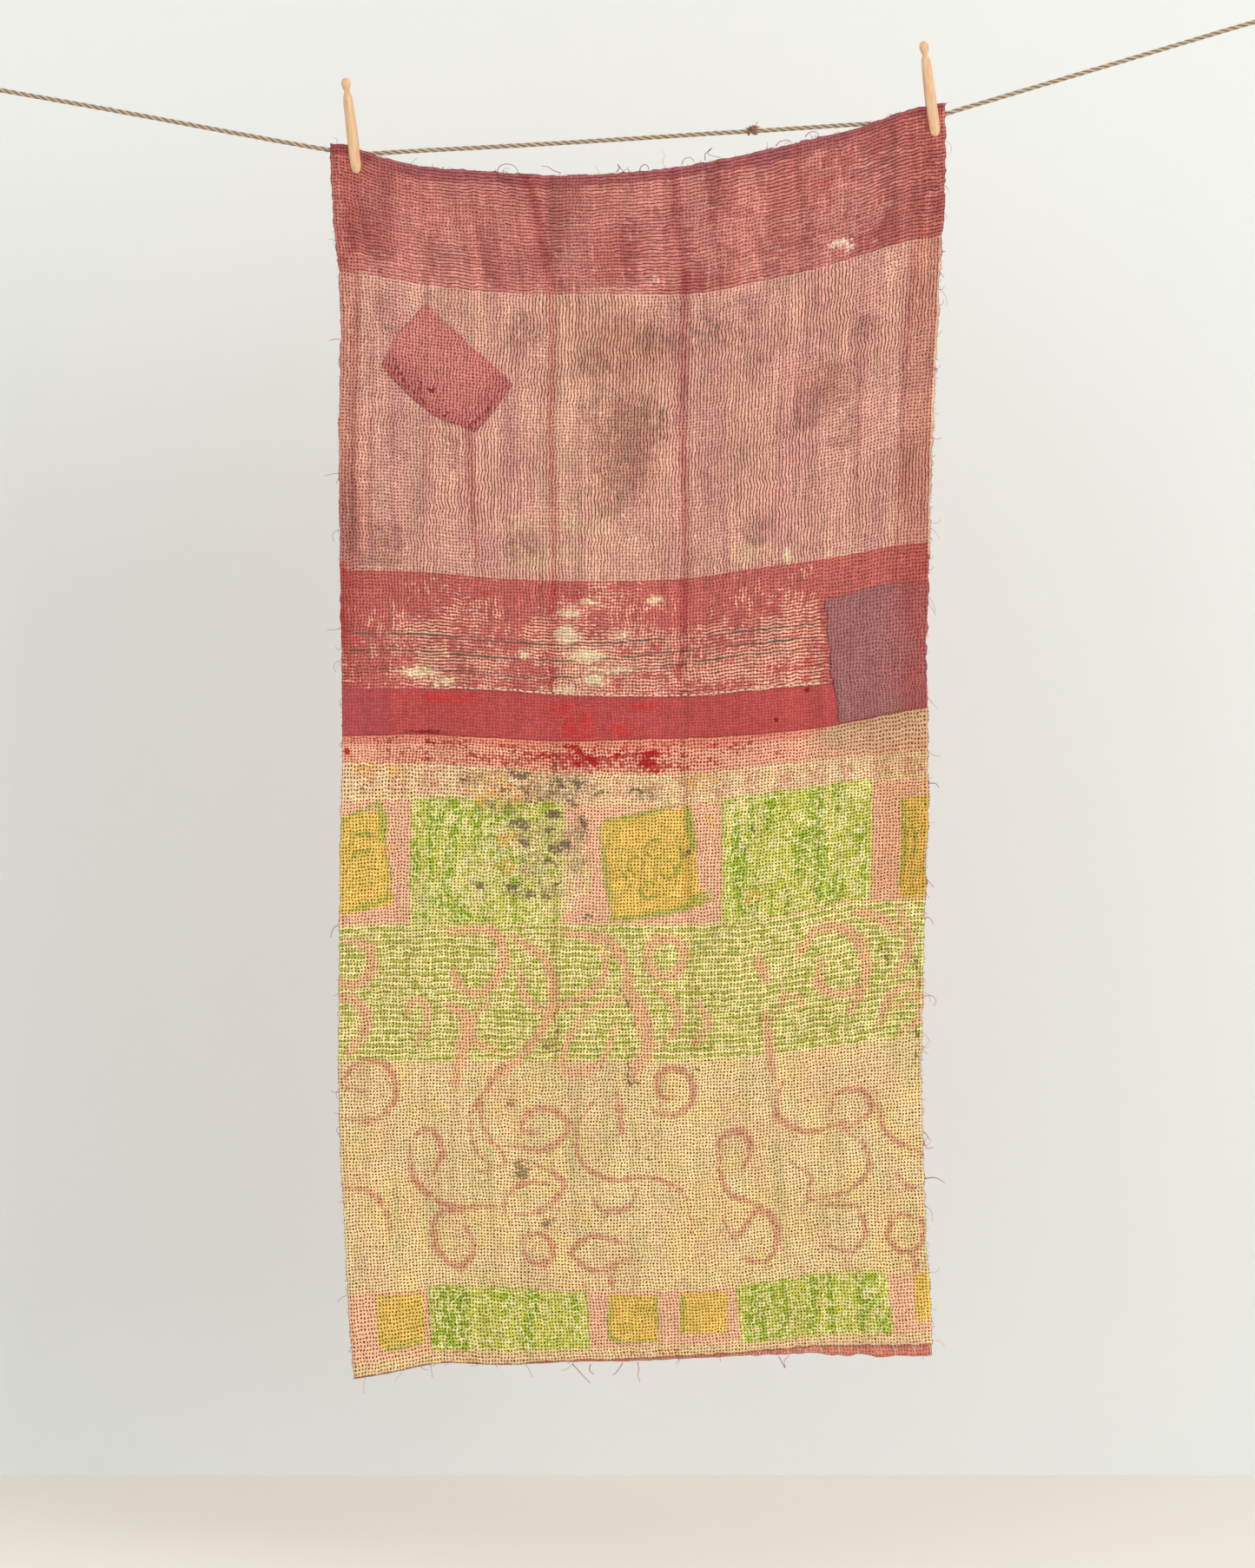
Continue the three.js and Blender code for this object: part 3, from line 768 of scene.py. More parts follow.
@dataclass(frozen=True)
class JuteTwine:
    """Three-strand laid jute. The eye sees pale dry fibres, and the grooves between the strands are painted
    brown as painted shade.
    """

    name: str = "laid jute twine"
    light: str = "#dccbb2"
    dark: str = "#b49e82"
    # the painted shade in the grooves between strands
    groove_shade: str = "#86725a"
    fibre_mm: float = 0.35

    def build(self) -> Finish:
        """Makes the material. It reads `groove_shade`, 0 on a strand's crown and 1 where two strands meet,
        and `lay`, the place along and round a strand in mm.

        Returns:
            The material.
        """
        material, tree = new_material(self.name)
        lay = add_node(tree, "Attribute", take="Vector", attribute_name="lay")
        scale = (1 / 5.0, 1 / self.fibre_mm, 1 / self.fibre_mm)
        placed = add_node(tree, "Mapping", {"Vector": lay, "Scale": scale})
        fibres = add_node(tree, "TexNoise", {"Vector": placed, "Scale": 1.0, "Detail": 2.0})
        share = add_node(tree, "MapRange", {0: fibres, 1: 0.32, 2: 0.68}, **SOFT)
        dry = {FACTOR: share, FIRST: colour(self.dark), SECOND: colour(self.light)}
        dry = add_node(tree, "Mix", dry, MIXED, data_type="RGBA")
        # Painted shade: darker towards the groove colour where two strands meet.
        groove_shade = add_node(tree, "Attribute", take="Fac", attribute_name="groove_shade")
        deep = {FACTOR: groove_shade, FIRST: dry, SECOND: colour(self.groove_shade)}
        looks = {
            "Base Color": add_node(tree, "Mix", deep, MIXED, data_type="RGBA"),
            "Roughness": 0.85,
            "Specular IOR Level": 0.25,
            "Normal": add_node(tree, "Bump", {"Strength": 0.7, "Distance": 0.25 * MM, "Height": fibres}),
        }
        add_node(tree, "OutputMaterial", {"Surface": add_node(tree, "BsdfPrincipled", looks)})
        return material


@dataclass(frozen=True)
class TurnedBeech:
    """Turned beech, sanded and left bare. The eye sees a pale peach wood with fine flecks along it."""

    name: str = "turned beech"
    light: str = "#efc9a0"
    dark: str = "#d9a87c"
    fleck: str = "#a9764c"
    end_grain: str = "#cdb193"
    grain_mm: Pair = (1.6, 30)  # width and length
    fleck_mm: Pair = (0.7, 3.5)

    def build(self) -> Finish:
        """Makes the material. It reads `turning`, the place in the peg's own upright frame in mm, and
        `head`, 1 on the handled tip of the head.

        Returns:
            The material.
        """
        material, tree = new_material(self.name)
        place = add_node(tree, "Attribute", take="Vector", attribute_name="turning")
        head = add_node(tree, "Attribute", take="Fac", attribute_name="head")
        fields = []
        for (wide, long), detail, twist in ((self.grain_mm, 3.0, 0.4), (self.fleck_mm, 1.0, 0.0)):
            placed = add_node(tree, "Mapping", {"Vector": place, "Scale": (1 / wide, 1 / wide, 1 / long)})
            pattern = {"Vector": placed, "Scale": 1.0, "Detail": detail, "Distortion": twist}
            fields.append(add_node(tree, "TexNoise", pattern))
        grain, flecks = fields
        share = add_node(tree, "MapRange", {0: grain, 1: 0.3, 2: 0.7}, **SOFT)
        flecked = add_node(tree, "MapRange", (flecks, 0.62, 0.74, 0.0, 0.35))
        wood: Any = colour(self.dark)
        for part, code in ((share, self.light), (flecked, self.fleck), (head, self.end_grain)):
            laid = {FACTOR: part, FIRST: wood, SECOND: colour(code)}
            wood = add_node(tree, "Mix", laid, MIXED, data_type="RGBA")
        looks = {
            "Base Color": wood,
            "Roughness": 0.55,
            "Specular IOR Level": 0.4,
            "Normal": add_node(tree, "Bump", {"Strength": 0.3, "Distance": 0.15 * MM, "Height": grain}),
        }
        add_node(tree, "OutputMaterial", {"Surface": add_node(tree, "BsdfPrincipled", looks)})
        return material


# --- the shape of the cloth ---


@dataclass(frozen=True)
class Fold:
    """A soft trough (depth above 0) or ridge that runs down the cloth, leaning right by `lean`."""

    across: float
    lean: float
    width: float
    depth: float
    start: float
    end: float
    fade: float

    def relief(self, across: Array, drop: Array) -> Array:
        """Its bell curve, which grows and dies away over `fade` past its two ends.

        Args:
            across: places across.
            drop: the same places' drop.

        Returns:
            How far it stands back there.
        """
        grown = smooth_step(self.start - self.fade, self.start, drop)
        gone = smooth_step(self.end, self.end + self.fade, drop)
        return self.depth * bell(across - self.lean * drop, self.across, self.width) * grown * (1 - gone)


@dataclass(frozen=True)
class Crease:
    """A soft bent line down the cloth: its places across at some drops, its half width and its depth."""

    drops: tuple[float, ...]
    places: tuple[float, ...]
    width: float
    depth: float
    fade: float = 45.0

    def _past(self, drop: Array) -> Array:
        """How far past its ends a drop is, negative between them."""
        return np.maximum(self.drops[0] - drop, drop - self.drops[-1])

    def distance(self, across: Array, drop: Array) -> Array:
        """Signed distance across to it, growing past its two ends."""
        away = np.abs(across - curve_through(self.drops, self.places, drop)) - self.width
        return away + np.maximum(self._past(drop), 0) / 4

    def relief(self, across: Array, drop: Array) -> Array:
        """Its bell curve, which dies away past its ends."""
        profile = bell(across - curve_through(self.drops, self.places, drop), 0.0, self.width)
        return self.depth * profile * smooth_step(self.fade, 0.0, self._past(drop))


@dataclass(frozen=True)
class Held:
    """A place held flat by a peg: no fold reaches nearer than `flat`, and it is free at `free`."""

    across: float
    drop: float
    flat: float
    free: float


# Where the cross lines' drops are given, in mm across.
STATIONS = (0, 20, 40, 100, 170, 270, 350, 420, 490, 550, 600, 650, 695)

# The cloth's cross lines: each line's `down`, and how far it hangs below the cloth's top at each station.
CROSS_LINES: dict[str, tuple[float, tuple[float, ...]]] = {
    "top": (33, (-4, -3, 5, 21, 27.5, 33, 28.5, 18, 4, -11, -24, -42, -52)),
    "fade": (169, (143, 145, 147, 158, 166, 169, 169, 167, 154, 140, 125, 109, 101)),
    "wear": (499, (487, 487, 487, 489, 495, 499, 499, 495, 485, 477, 469, 459, 454)),
    "strip": (631, (623, 623, 623, 623, 625, 631, 633, 632, 625.5, 620, 616, 612, 608)),
    "seam": (683.5, (678, 677.5, 677, 676, 680, 683.5, 682, 680, 676, 670.5, 662.5, 652.5, 645)),
    "coral": (719, (707, 707, 708, 709, 713, 719, 722, 720, 713, 707, 702, 698, 694)),
    "blocks": (754, (752, 751, 750, 750, 751, 754, 755, 753, 747, 740, 733, 727, 724)),
    "stripes": (895, (898, 897, 896, 894, 894, 895, 896, 896, 892, 882, 872, 868, 866)),
    "plain": (1051, (1053, 1053, 1053, 1052, 1052, 1051, 1051, 1051, 1047, 1041, 1034, 1027, 1022)),
    "border": (1317, (1321, 1319, 1318, 1314, 1314, 1317, 1316, 1316, 1310, 1301, 1299, 1298, 1297)),
    "hem": (1396, (1417, 1414, 1411, 1401, 1402, 1396, 1393.5, 1390.5, 1386.5, 1381, 1379, 1379, 1377)),
    "bottom": (1407, (1418, 1415, 1412, 1402, 1403, 1398, 1397, 1394.5, 1392, 1390, 1391.5, 1392, 1390)),
}

# The side edges: how far each stands to the right of its straight line, down the cloth.
EDGE_DROPS = (-55, 0, 55, 90, 145, 210, 330, 450, 590, 680, 780, 890, 1130, 1230, 1330, 1420)
LEFT_EDGE = (-11, -10, -8, -6, 0, 2, 0, 1, 3, 4, 2, 1, 1, 6, 11, 17)
RIGHT_EDGE = (18, 18.5, 18, 15, 13, 9.5, 4, 1, -3, -1.5, -1.5, -5.5, -8, -4.4, 1, 6)

FOLDS = (
    Fold(55, 0.01, 48, 3.2, 120, 900, 160),
    Fold(140, 0.015, 55, -4.5, 160, 760, 240),
    Fold(240, 0.018, 34, 3.6, 40, 980, 200),
    Fold(320, 0.02, 50, -3.6, 60, 700, 260),
    Fold(395, 0.035, 34, 3.8, 40, 980, 200),
    Fold(500, 0.02, 60, -4.0, 140, 820, 260),
    Fold(610, -0.01, 52, 3.2, 200, 1000, 220),
    Fold(20, 0, 60, -6.5, 1330, 1420, 300),
    Fold(120, 0, 62, 7.5, 1340, 1420, 260),
    Fold(300, 0, 80, -5.0, 1250, 1420, 300),
    Fold(500, 0, 85, 4.5, 1250, 1420, 300),
    Fold(660, 0, 60, -6.0, 1200, 1420, 320),
    Fold(300, 0, 190, -5.5, 0, 30, 140),
)
# Sharper creases, too fine for the solids: each one's drops, its places across there, width and depth.
CREASES = (
    Crease((30, 90, 175, 310, 460, 610, 1030), (219, 233, 245, 247, 252, 249, 258), 5.0, 1.6),
    Crease((35, 100, 140), (203, 213, 224), 3.5, 0.7),
    Crease((40, 85, 160, 260, 460, 610, 1030), (388, 392, 399, 400, 407, 404, 423), 5.0, 1.8),
    Crease((40, 160), (324, 337), 4.0, 0.6),
    Crease((330, 470), (152, 160), 9.0, 0.3),
    Crease((150, 480), (20, 14), 6.0, 0.4),
    Crease((250, 480), (38, 36), 5.0, 0.5),
    Crease((120, 560), (662, 655), 7.0, -0.4),
    Crease((200, 460), (606, 610), 6.0, -0.25),
)
HELD = (Held(15, 12, 52, 170), Held(680, -30, 62, 180))


def level(name: str) -> float:
    """A cross line's `down`."""
    return CROSS_LINES[name][0]


JOIN = (level("strip") + level("seam")) / 2  # the two panels meet under the middle of the strip


@dataclass(frozen=True)
class HangingCloth:
    """The shape in which the whole cloth hangs: every sheet, stitch and thread is placed on it."""

    left: float = 453.0
    width: float = 680.0
    top: float = -78.0
    front: float = -5.75
    pucker: float = 0.35

    def drop(self, across: Array, down: Array) -> Array:
        """How far a place hangs below the cloth's top: straight steps in `down` between cross lines.

        Args:
            across: places across.
            down: the same places' `down`.

        Returns:
            The drops.
        """
        lines = list(CROSS_LINES.values())
        levels = np.array([at for at, _ in lines])
        hung = np.stack([curve_through(STATIONS, drops, across) for _, drops in lines])
        k = np.clip(np.searchsorted(levels, down, side="right") - 1, 0, len(levels) - 2)
        share = (down - levels[k]) / (levels[k + 1] - levels[k])
        here = np.take_along_axis(hung, k[None], 0)[0]
        there = np.take_along_axis(hung, k[None] + 1, 0)[0]
        return here + (there - here) * share

    def relief(self, across: Array, drop: Array, fine: bool = True) -> Array:
        """How far the cloth stands back from the flat: its folds, and where `fine`, creases and puckers.

        Args:
            across: places across.
            drop: the same places' drop.
            fine: whether the finer ones count.

        Returns:
            The depths, larger farther back.
        """
        depth = sum(fold.relief(across, drop) for fold in FOLDS)
        if fine:
            depth += np.sum([crease.relief(across, drop) for crease in CREASES], axis=0)
            depth += self.pucker * ripple(across, drop, (11, 17), 3)
            depth += 1.6 * self.pucker * ripple(across, drop, (42, 70), 4)
        for held in HELD:
            depth *= smooth_step(held.flat, held.free, np.hypot(across - held.across, drop - held.drop))
        return depth

    def front_face(self, across: Array, down: Array, forward: Any = 0.0) -> Array:
        """Points of the front face.

        Args:
            across: places across.
            down: places down.
            forward: how far in front of the panels' face.

        Returns:
            The points in mm, with a last axis of 3.
        """
        drop = self.drop(across, down)
        start = self.left + curve_through(EDGE_DROPS, LEFT_EDGE, drop)
        finish = self.left + self.width + curve_through(EDGE_DROPS, RIGHT_EDGE, drop)
        x = start + (finish - start) * across / WIDTH
        return np.stack([x, self.front + self.relief(across, drop) - forward, self.top - drop], -1)


@dataclass(frozen=True)
class Quilting:
    """The hand-sewn lattice: rows of running stitch, uneven as a hand makes them."""

    column: float = 3.8
    row: float = 3.65
    sway: float = 1.35
    rise: float = 1.05
    edge: float = 9.0

    def counted(self, across: Array, down: Array) -> Array:
        """Places counted in stitches, for a cloth whose points aren't its stitches."""
        sway, rise = self._drift(across, down)
        return flat_places((across - sway) / self.column, (down - rise) / self.row)

    def _drift(self, across: Array, down: Array) -> tuple[Array, Array]:
        """How far the needle strays across and down: a broad wave and a finer one in each.

        Args:
            across: places across.
            down: the same places' `down`.

        Returns:
            The two distances.
        """
        sway = self.sway * (ripple(across, down, (28, 9), 11) + 0.5 * ripple(across, down, (8, 5), 12))
        rise = self.rise * (ripple(across, down, (9, 28), 13) + 0.5 * ripple(across, down, (6, 8), 14))
        return sway, rise

    def lattice(self, first: float, last: float) -> dict[str, Array]:
        """The stitches' places, which are also the sheet's points.

        A regular grid, moved by two smooth random fields that die away towards the sheet's edges.

        Args:
            first: the `down` of the first row.
            last: the `down` of the last row.

        Returns:
            `across`, `down` and the counted places `column` and `row`, each rows x columns.
        """
        columns, rows = round(WIDTH / self.column), round((last - first) / self.row)
        i, j = np.meshgrid(np.arange(columns + 1.0), np.arange(rows + 1.0))
        across, down = i * WIDTH / columns, first + j * (last - first) / rows
        inward = np.minimum(np.minimum(across, WIDTH - across), np.minimum(down - first, last - down))
        free = smooth_step(0.0, self.edge, inward)
        sway, rise = self._drift(across, down)
        return {"across": across + free * sway, "down": down + free * rise, "column": i, "row": j}


CLOTH, QUILTING = HangingCloth(), Quilting()


# --- what is printed and worn ---


@dataclass(frozen=True)
class Curl:
    """A printed scroll that winds in: `start` and `sweep` in degrees, 0 to the right and 90 downwards."""

    across: float
    down: float
    radius: float
    start: float
    sweep: float
    tighten: float
    width: float

    def points(self) -> Array:
        """Points along it with its half width: a circle whose radius shrinks steadily.

        Returns:
            K x 3: across, down and half width.
        """
        t = np.linspace(0.0, 1.0, max(8, int(abs(self.sweep) / 5)))
        angle = np.radians(self.start + self.sweep * t)
        reach = self.radius * (1 - self.tighten * t)
        half = 0.5 * self.width * (0.75 + 0.35 * np.sin(math.pi * t))
        return np.stack([self.across + reach * np.cos(angle), self.down + reach * np.sin(angle), half], -1)


@dataclass(frozen=True)
class Stem:
    """A printed stroke through some places, drawn with a round brush that swells in the middle."""

    width: float
    places: tuple[Pair, ...]

    def points(self) -> Array:
        """Points along it with its half width: a smooth curve through the places.

        Returns:
            K x 3: across, down and half width.
        """
        path = np.array(self.places, float)
        at = np.concatenate([[0.0], np.cumsum(np.linalg.norm(np.diff(path, axis=0), axis=1))])
        where = np.linspace(0.0, at[-1], max(8, int(at[-1] / 3)))
        half = 0.5 * self.width * (0.65 + 0.45 * np.sin(math.pi * where / at[-1]))
        return np.stack([*(curve_through(at, path[:, axis], where) for axis in (0, 1)), half], -1)


def stroke_distance(across: Array, down: Array, strokes: Any, reach: float = 22.0) -> Array:
    """Signed distance to the nearest stroke: the way to its nearest point, less its half width there.

    Args:
        across: places across.
        down: the same places' `down`.
        strokes: curls and stems.
        reach: the distance past which none is looked for.

    Returns:
        The distances, at most `reach`.
    """
    nearest = np.full(across.shape, reach)
    for stroke in strokes:
        path = stroke.points()
        low, high = path.min(0) - reach, path.max(0) + reach
        near = (across > low[0]) & (across < high[0]) & (down > low[1]) & (down < high[1])
        away = np.hypot(across[near][:, None] - path[:, 0], down[near][:, None] - path[:, 1]) - path[:, 2]
        nearest[near] = np.minimum(nearest[near], away.min(axis=1))
    return nearest


# Broad ribbons over the stripes.
RIBBONS = (
    Curl(14, 938, 27, -100, 300, 0.15, 12),
    Stem(13, ((-4, 975), (24, 984), (34, 1002), (12, 1040))),
    Stem(8, ((80, 1000), (88, 982), (104, 986), (106, 1004), (94, 1030))),
    Stem(12, ((128, 902), (190, 910), (195, 940), (175, 970), (149, 970), (134, 950))),
    Stem(15, ((132, 988), (150, 1000), (149, 1030), (139, 1078))),
    Stem(9, ((176, 986), (160, 1004), (164, 1030), (190, 1040))),
    Stem(12, ((204, 908), (242, 934), (256, 975), (248, 1005), (226, 1038), (196, 1066))),
    Stem(9, ((216, 948), (220, 976), (244, 996))),
    Stem(12, ((266, 905), (322, 916), (348, 958))),
    Stem(9, ((310, 920), (316, 952), (277, 984), (254, 994))),
    Curl(387, 930, 25, 150, -390, 0.25, 11),
    Stem(9, ((335, 978), (299, 995), (273, 1030), (268, 1065), (310, 1055), (332, 1008))),
    Stem(10, ((378, 968), (402, 990), (404, 1010), (384, 1034))),
    Stem(18, ((340, 962), (362, 1000), (368, 1035), (352, 1066))),
    Stem(9, ((428, 985), (440, 1010), (424, 1034))),
    Stem(11, ((496, 934), (508, 964))),
    Stem(11, ((508, 1000), (512, 1035), (518, 1078))),
    Stem(7, ((524, 1004), (530, 986), (550, 992), (544, 1006))),
    Stem(12, ((546, 940), (566, 917), (604, 924), (626, 955), (626, 987), (608, 1018))),
    Stem(10, ((574, 952), (572, 980), (600, 994), (624, 984))),
    Stem(9, ((664, 902), (678, 946), (660, 984))),
    Stem(9, ((694, 986), (657, 1004), (641, 1040))),
    Stem(8, ((666, 1016), (690, 1004), (692, 1030), (668, 1046))),
    Stem(12, ((612, 905), (640, 912), (664, 930))),
)
# Thinner scrolls over the plain yellow.
SCROLLS = (
    Stem(9, ((0, 1115), (46, 1117), (68, 1090), (58, 1056), (22, 1052), (6, 1078), (32, 1086))),
    Stem(7, ((224, 1030), (188, 1070), (156, 1120), (164, 1160), (184, 1178))),
    Stem(7, ((203, 1045), (172, 1090), (172, 1130), (196, 1168), (158, 1184))),
    Stem(10, ((200, 1150), (252, 1152), (273, 1125), (254, 1108), (223, 1114), (217, 1130), (236, 1137))),
    Curl(396, 1083, 34, 130, -430, 0.7, 10),
    Stem(10, ((332, 1088), (338, 1142))),
    Stem(8, ((306, 1095), (283, 1130), (288, 1170), (312, 1186), (374, 1188), (405, 1202), (416, 1252))),
    Stem(8, ((296, 1204), (306, 1222), (337, 1222), (353, 1200))),
    Stem(10, ((86, 1140), (106, 1131), (122, 1154), (109, 1182))),
    Stem(9, ((84, 1138), (87, 1190), (114, 1216), (187, 1222))),
    Stem(10, ((150, 1225), (111, 1234), (109, 1272), (135, 1293), (155, 1270), (143, 1246))),
    Stem(9, ((228, 1168), (264, 1194), (249, 1217), (206, 1232))),
    Stem(8, ((198, 1242), (191, 1218), (213, 1195), (250, 1192))),
    Curl(230, 1270, 20, -150, 320, 0.2, 9),
    Stem(9, ((334, 1262), (290, 1254), (271, 1271), (290, 1291), (338, 1281))),
    Stem(10, ((316, 1288), (316, 1312))),
    Stem(8, ((-2, 1195), (31, 1200), (52, 1228), (54, 1258))),
    Stem(10, ((451, 1174), (457, 1143), (480, 1137), (490, 1158), (477, 1184))),
    Stem(9, ((449, 1160), (462, 1208), (500, 1226))),
    Stem(10, ((454, 1240), (465, 1260), (498, 1230), (517, 1255), (503, 1291), (475, 1285))),
    Stem(9, ((530, 1084), (523, 1124), (556, 1146), (604, 1140))),
    Stem(9, ((586, 1128), (592, 1107), (628, 1108), (634, 1128), (600, 1148))),
    Stem(8, ((600, 1148), (625, 1168), (628, 1198), (607, 1217), (560, 1228))),
    Stem(8, ((571, 1235), (614, 1240), (622, 1268), (602, 1290), (578, 1281))),
    Curl(669, 1269, 23, -40, 330, 0.15, 9),
    Stem(9, ((678, 1292), (680, 1316))),
    Stem(8, ((642, 1110), (650, 1154), (695, 1184))),
    Stem(8, ((663, 1202), (674, 1219), (694, 1220))),
    Stem(7, ((536, 1180), (560, 1200), (548, 1240))),
)
# Each block: its middle, its half sizes and its turn.
GREEN_BLOCKS = (
    ((174, 824), (90, 70), 0.0), ((541, 822), (88, 70), -0.8), ((191, 1350), (94, 33), 0.8),
    ((556, 1350), (90, 35), -1.5),
)
ORANGE_BLOCKS = (
    ((25, 824), (31, 54), -7.0), ((369, 824), (53, 57), -8.5), ((684, 834), (20, 58), 0.0),
    ((62, 1347), (28, 26), 2.0), ((339, 1349), (29, 27), 3.5), ((424, 1345), (28, 25), 3.0),
    ((690, 1343), (14, 26), 0.0),
)
# Green that runs out round the orange blocks.
GREEN_RIMS = (
    Stem(6, ((2, 777), (20, 768), (41, 758))), Stem(9, ((44, 757), (50, 775), (51, 802))),
    Stem(4, ((54, 806), (59, 836), (62, 866))), Stem(6, ((2, 880), (30, 874), (64, 862))),
    Stem(6, ((306, 782), (315, 836), (324, 892))), Stem(7, ((320, 890), (380, 882), (446, 864))),
    Stem(10, ((410, 760), (414, 786), (420, 808))), Stem(7, ((414, 866), (440, 858))),
    Stem(6, ((310, 776), (350, 768), (400, 756))), Stem(6, ((664, 780), (668, 830), (664, 880))),
    Stem(5, ((400, 1322), (398, 1370))), Stem(5, ((314, 1326), (312, 1372), (366, 1376))),
    Stem(5, ((36, 1374), (88, 1372))), Stem(4, ((368, 1324), (366, 1368))),
)
# Flowers scribbled on the orange blocks.
FLOWERS = (
    Curl(372, 806, 13, 0, 330, 0.3, 4), Curl(352, 826, 11, 90, 330, 0.3, 4),
    Curl(388, 832, 10, 200, 330, 0.2, 4), Curl(366, 852, 12, 40, 300, 0.4, 4),
    Stem(4, ((338, 800), (332, 826), (346, 850))), Stem(4, ((396, 790), (404, 816), (398, 848))),
    Stem(5, ((6, 812), (22, 792), (46, 798))), Stem(4, ((4, 836), (20, 812), (46, 812))),
    Stem(4, ((8, 852), (26, 830), (44, 834))), Stem(4, ((672, 800), (680, 826), (676, 860))),
)
# The spots and drifts below are ovals: across, down, half width and half height.
# Marks of another cloth, which the faded beige and the rose let through.
GHOSTS = (
    (52, 208, 9, 18), (64, 226, 12, 7), (212, 213, 20, 20), (436, 214, 34, 20), (396, 226, 16, 14),
    (360, 222, 16, 12), (472, 202, 12, 10), (330, 345, 34, 56), (308, 300, 26, 22), (362, 316, 18, 30),
    (566, 322, 26, 18), (548, 332, 18, 16), (214, 460, 18, 16), (12, 440, 9, 30), (56, 462, 16, 18),
    (54, 488, 12, 10), (488, 456, 16, 14), (470, 188, 14, 8), (590, 356, 16, 22), (130, 348, 8, 22),
    (320, 400, 18, 20), (612, 250, 14, 10), (296, 250, 16, 14),
)
# Where the cloth has gone darkest.
STAINS = (
    (338, 346, 36, 62), (346, 352, 18, 40), (10, 450, 10, 44), (56, 470, 16, 22), (566, 300, 26, 22),
    (330, 232, 50, 40),
)
# Small spots of red, of bare pale cloth, of yellowed cloth and of white thread.
RED_SPOTS = (
    (170, 519, 4, 3), (314, 523, 4, 3), (552, 624, 5, 4), (2, 500, 4, 10), (1, 556, 3, 22),
    (554, 606, 5, 5),
)
PALE_SPOTS = (
    (268, 561, 15, 10), (292, 585, 20, 8), (302, 612, 14, 7), (216, 586, 6, 4), (272, 536, 12, 4),
    (296, 524, 10, 3), (92, 612, 20, 6), (529, 489, 5, 8), (262, 625, 18, 4), (120, 622, 12, 4),
    (330, 560, 9, 3), (371, 521, 8, 5), (316, 600, 22, 3),
)
YELLOWED = (
    (214, 434, 26, 12), (272, 434, 22, 10), (238, 470, 44, 16), (300, 440, 30, 8), (484, 478, 30, 12),
)
WHITE_BITS = (
    (310, 258, 3, 3), (578, 149, 13, 5), (366, 154, 3, 4), (590, 156, 8, 4), (332, 424, 4, 3),
    (348, 450, 3, 3),
)
# Dark places in the rose band, and red ones in the worn band.
DEEP = (
    (575, 150, 60, 26), (556, 66, 12, 26), (300, 128, 70, 20), (395, 116, 40, 36), (40, 40, 60, 34),
    (30, 120, 34, 30), (640, 20, 60, 40),
)
RED_FIELDS = (
    (16, 540, 20, 60), (160, 512, 22, 16), (60, 516, 34, 10), (410, 512, 26, 10), (250, 606, 90, 5),
    (610, 520, 60, 24), (470, 500, 50, 8),
)
# Three thin green lines across the worn band: their drops at five places across.
GREEN_LINES = ((558, 560, 572, 557, 548), (579, 580, 591, 572, 563), (599, 600, 610, 585, 577))
# Smoky leaves and small orange flowers, printed in drifts over the top of the yellow.
LEAF_MARKS = (
    Stem(7, ((200, 722), (212, 728), (222, 722))), Stem(7, ((184, 738), (196, 743), (204, 738))),
    Stem(11, ((201, 781), (217, 780))), Stem(8, ((204, 776), (224, 786))),
    Stem(9, ((213, 800), (226, 803))), Stem(9, ((243, 768), (262, 768))),
    Stem(12, ((263, 803), (270, 804))), Stem(9, ((246, 807), (258, 810))),
    Stem(10, ((221, 862), (229, 861))), Stem(6, ((239, 861), (249, 864))),
    Stem(7, ((156, 850), (170, 853))), Stem(7, ((194, 850), (208, 853), (214, 846))),
    Stem(5, ((248, 734), (256, 728), (262, 736), (254, 742))),
    Stem(5, ((266, 738), (274, 730), (282, 736), (276, 744))), Stem(5, ((284, 728), (296, 734))),
    Stem(6, ((238, 788), (252, 786))), Stem(6, ((238, 826), (250, 822), (256, 828))),
    Stem(5, ((140, 734), (152, 736))), Stem(6, ((268, 752), (280, 758))),
    Stem(5, ((282, 772), (290, 782), (286, 792))), Stem(5, ((290, 886), (300, 884))),
    Stem(4, ((236, 990), (248, 992))), Stem(4, ((276, 980), (288, 984))), Stem(6, ((208, 738), (220, 744))),
    Stem(5, ((228, 836), (236, 846))), Stem(5, ((300, 744), (318, 741))),
    Stem(5, ((336, 742), (350, 738), (362, 744))), Stem(5, ((218, 752), (232, 756), (238, 750))),
    Stem(5, ((250, 850), (262, 846))), Stem(4, ((486, 786), (489, 794))), Stem(4, ((476, 806), (480, 816))),
    Stem(6, ((406, 813), (417, 811))), Stem(4, ((18, 742), (28, 748))),
    Stem(4, ((330, 962), (344, 985), (352, 1010), (346, 1036))),
    Stem(4, ((352, 1040), (344, 1066), (350, 1090))), Stem(3, ((362, 985), (370, 1010), (362, 1040))),
    Stem(3, ((318, 1000), (306, 1030), (314, 1060))),
    Stem(4, ((664, 968), (672, 958), (684, 964), (690, 985), (688, 1010))),
    Stem(4, ((682, 1030), (690, 1055), (686, 1080))), Stem(3, ((256, 1000), (262, 1030), (256, 1060))),
    Stem(3, ((640, 940), (652, 960), (650, 985))),
)
LEAF_DRIFTS = (
    (210, 722, 26, 9), (250, 742, 32, 12), (192, 760, 30, 9), (228, 790, 22, 14), (268, 802, 16, 16),
    (286, 786, 8, 16), (268, 726, 20, 8), (232, 858, 30, 6), (364, 742, 14, 8), (160, 732, 14, 8),
    (230, 826, 14, 18), (282, 826, 10, 10),
)
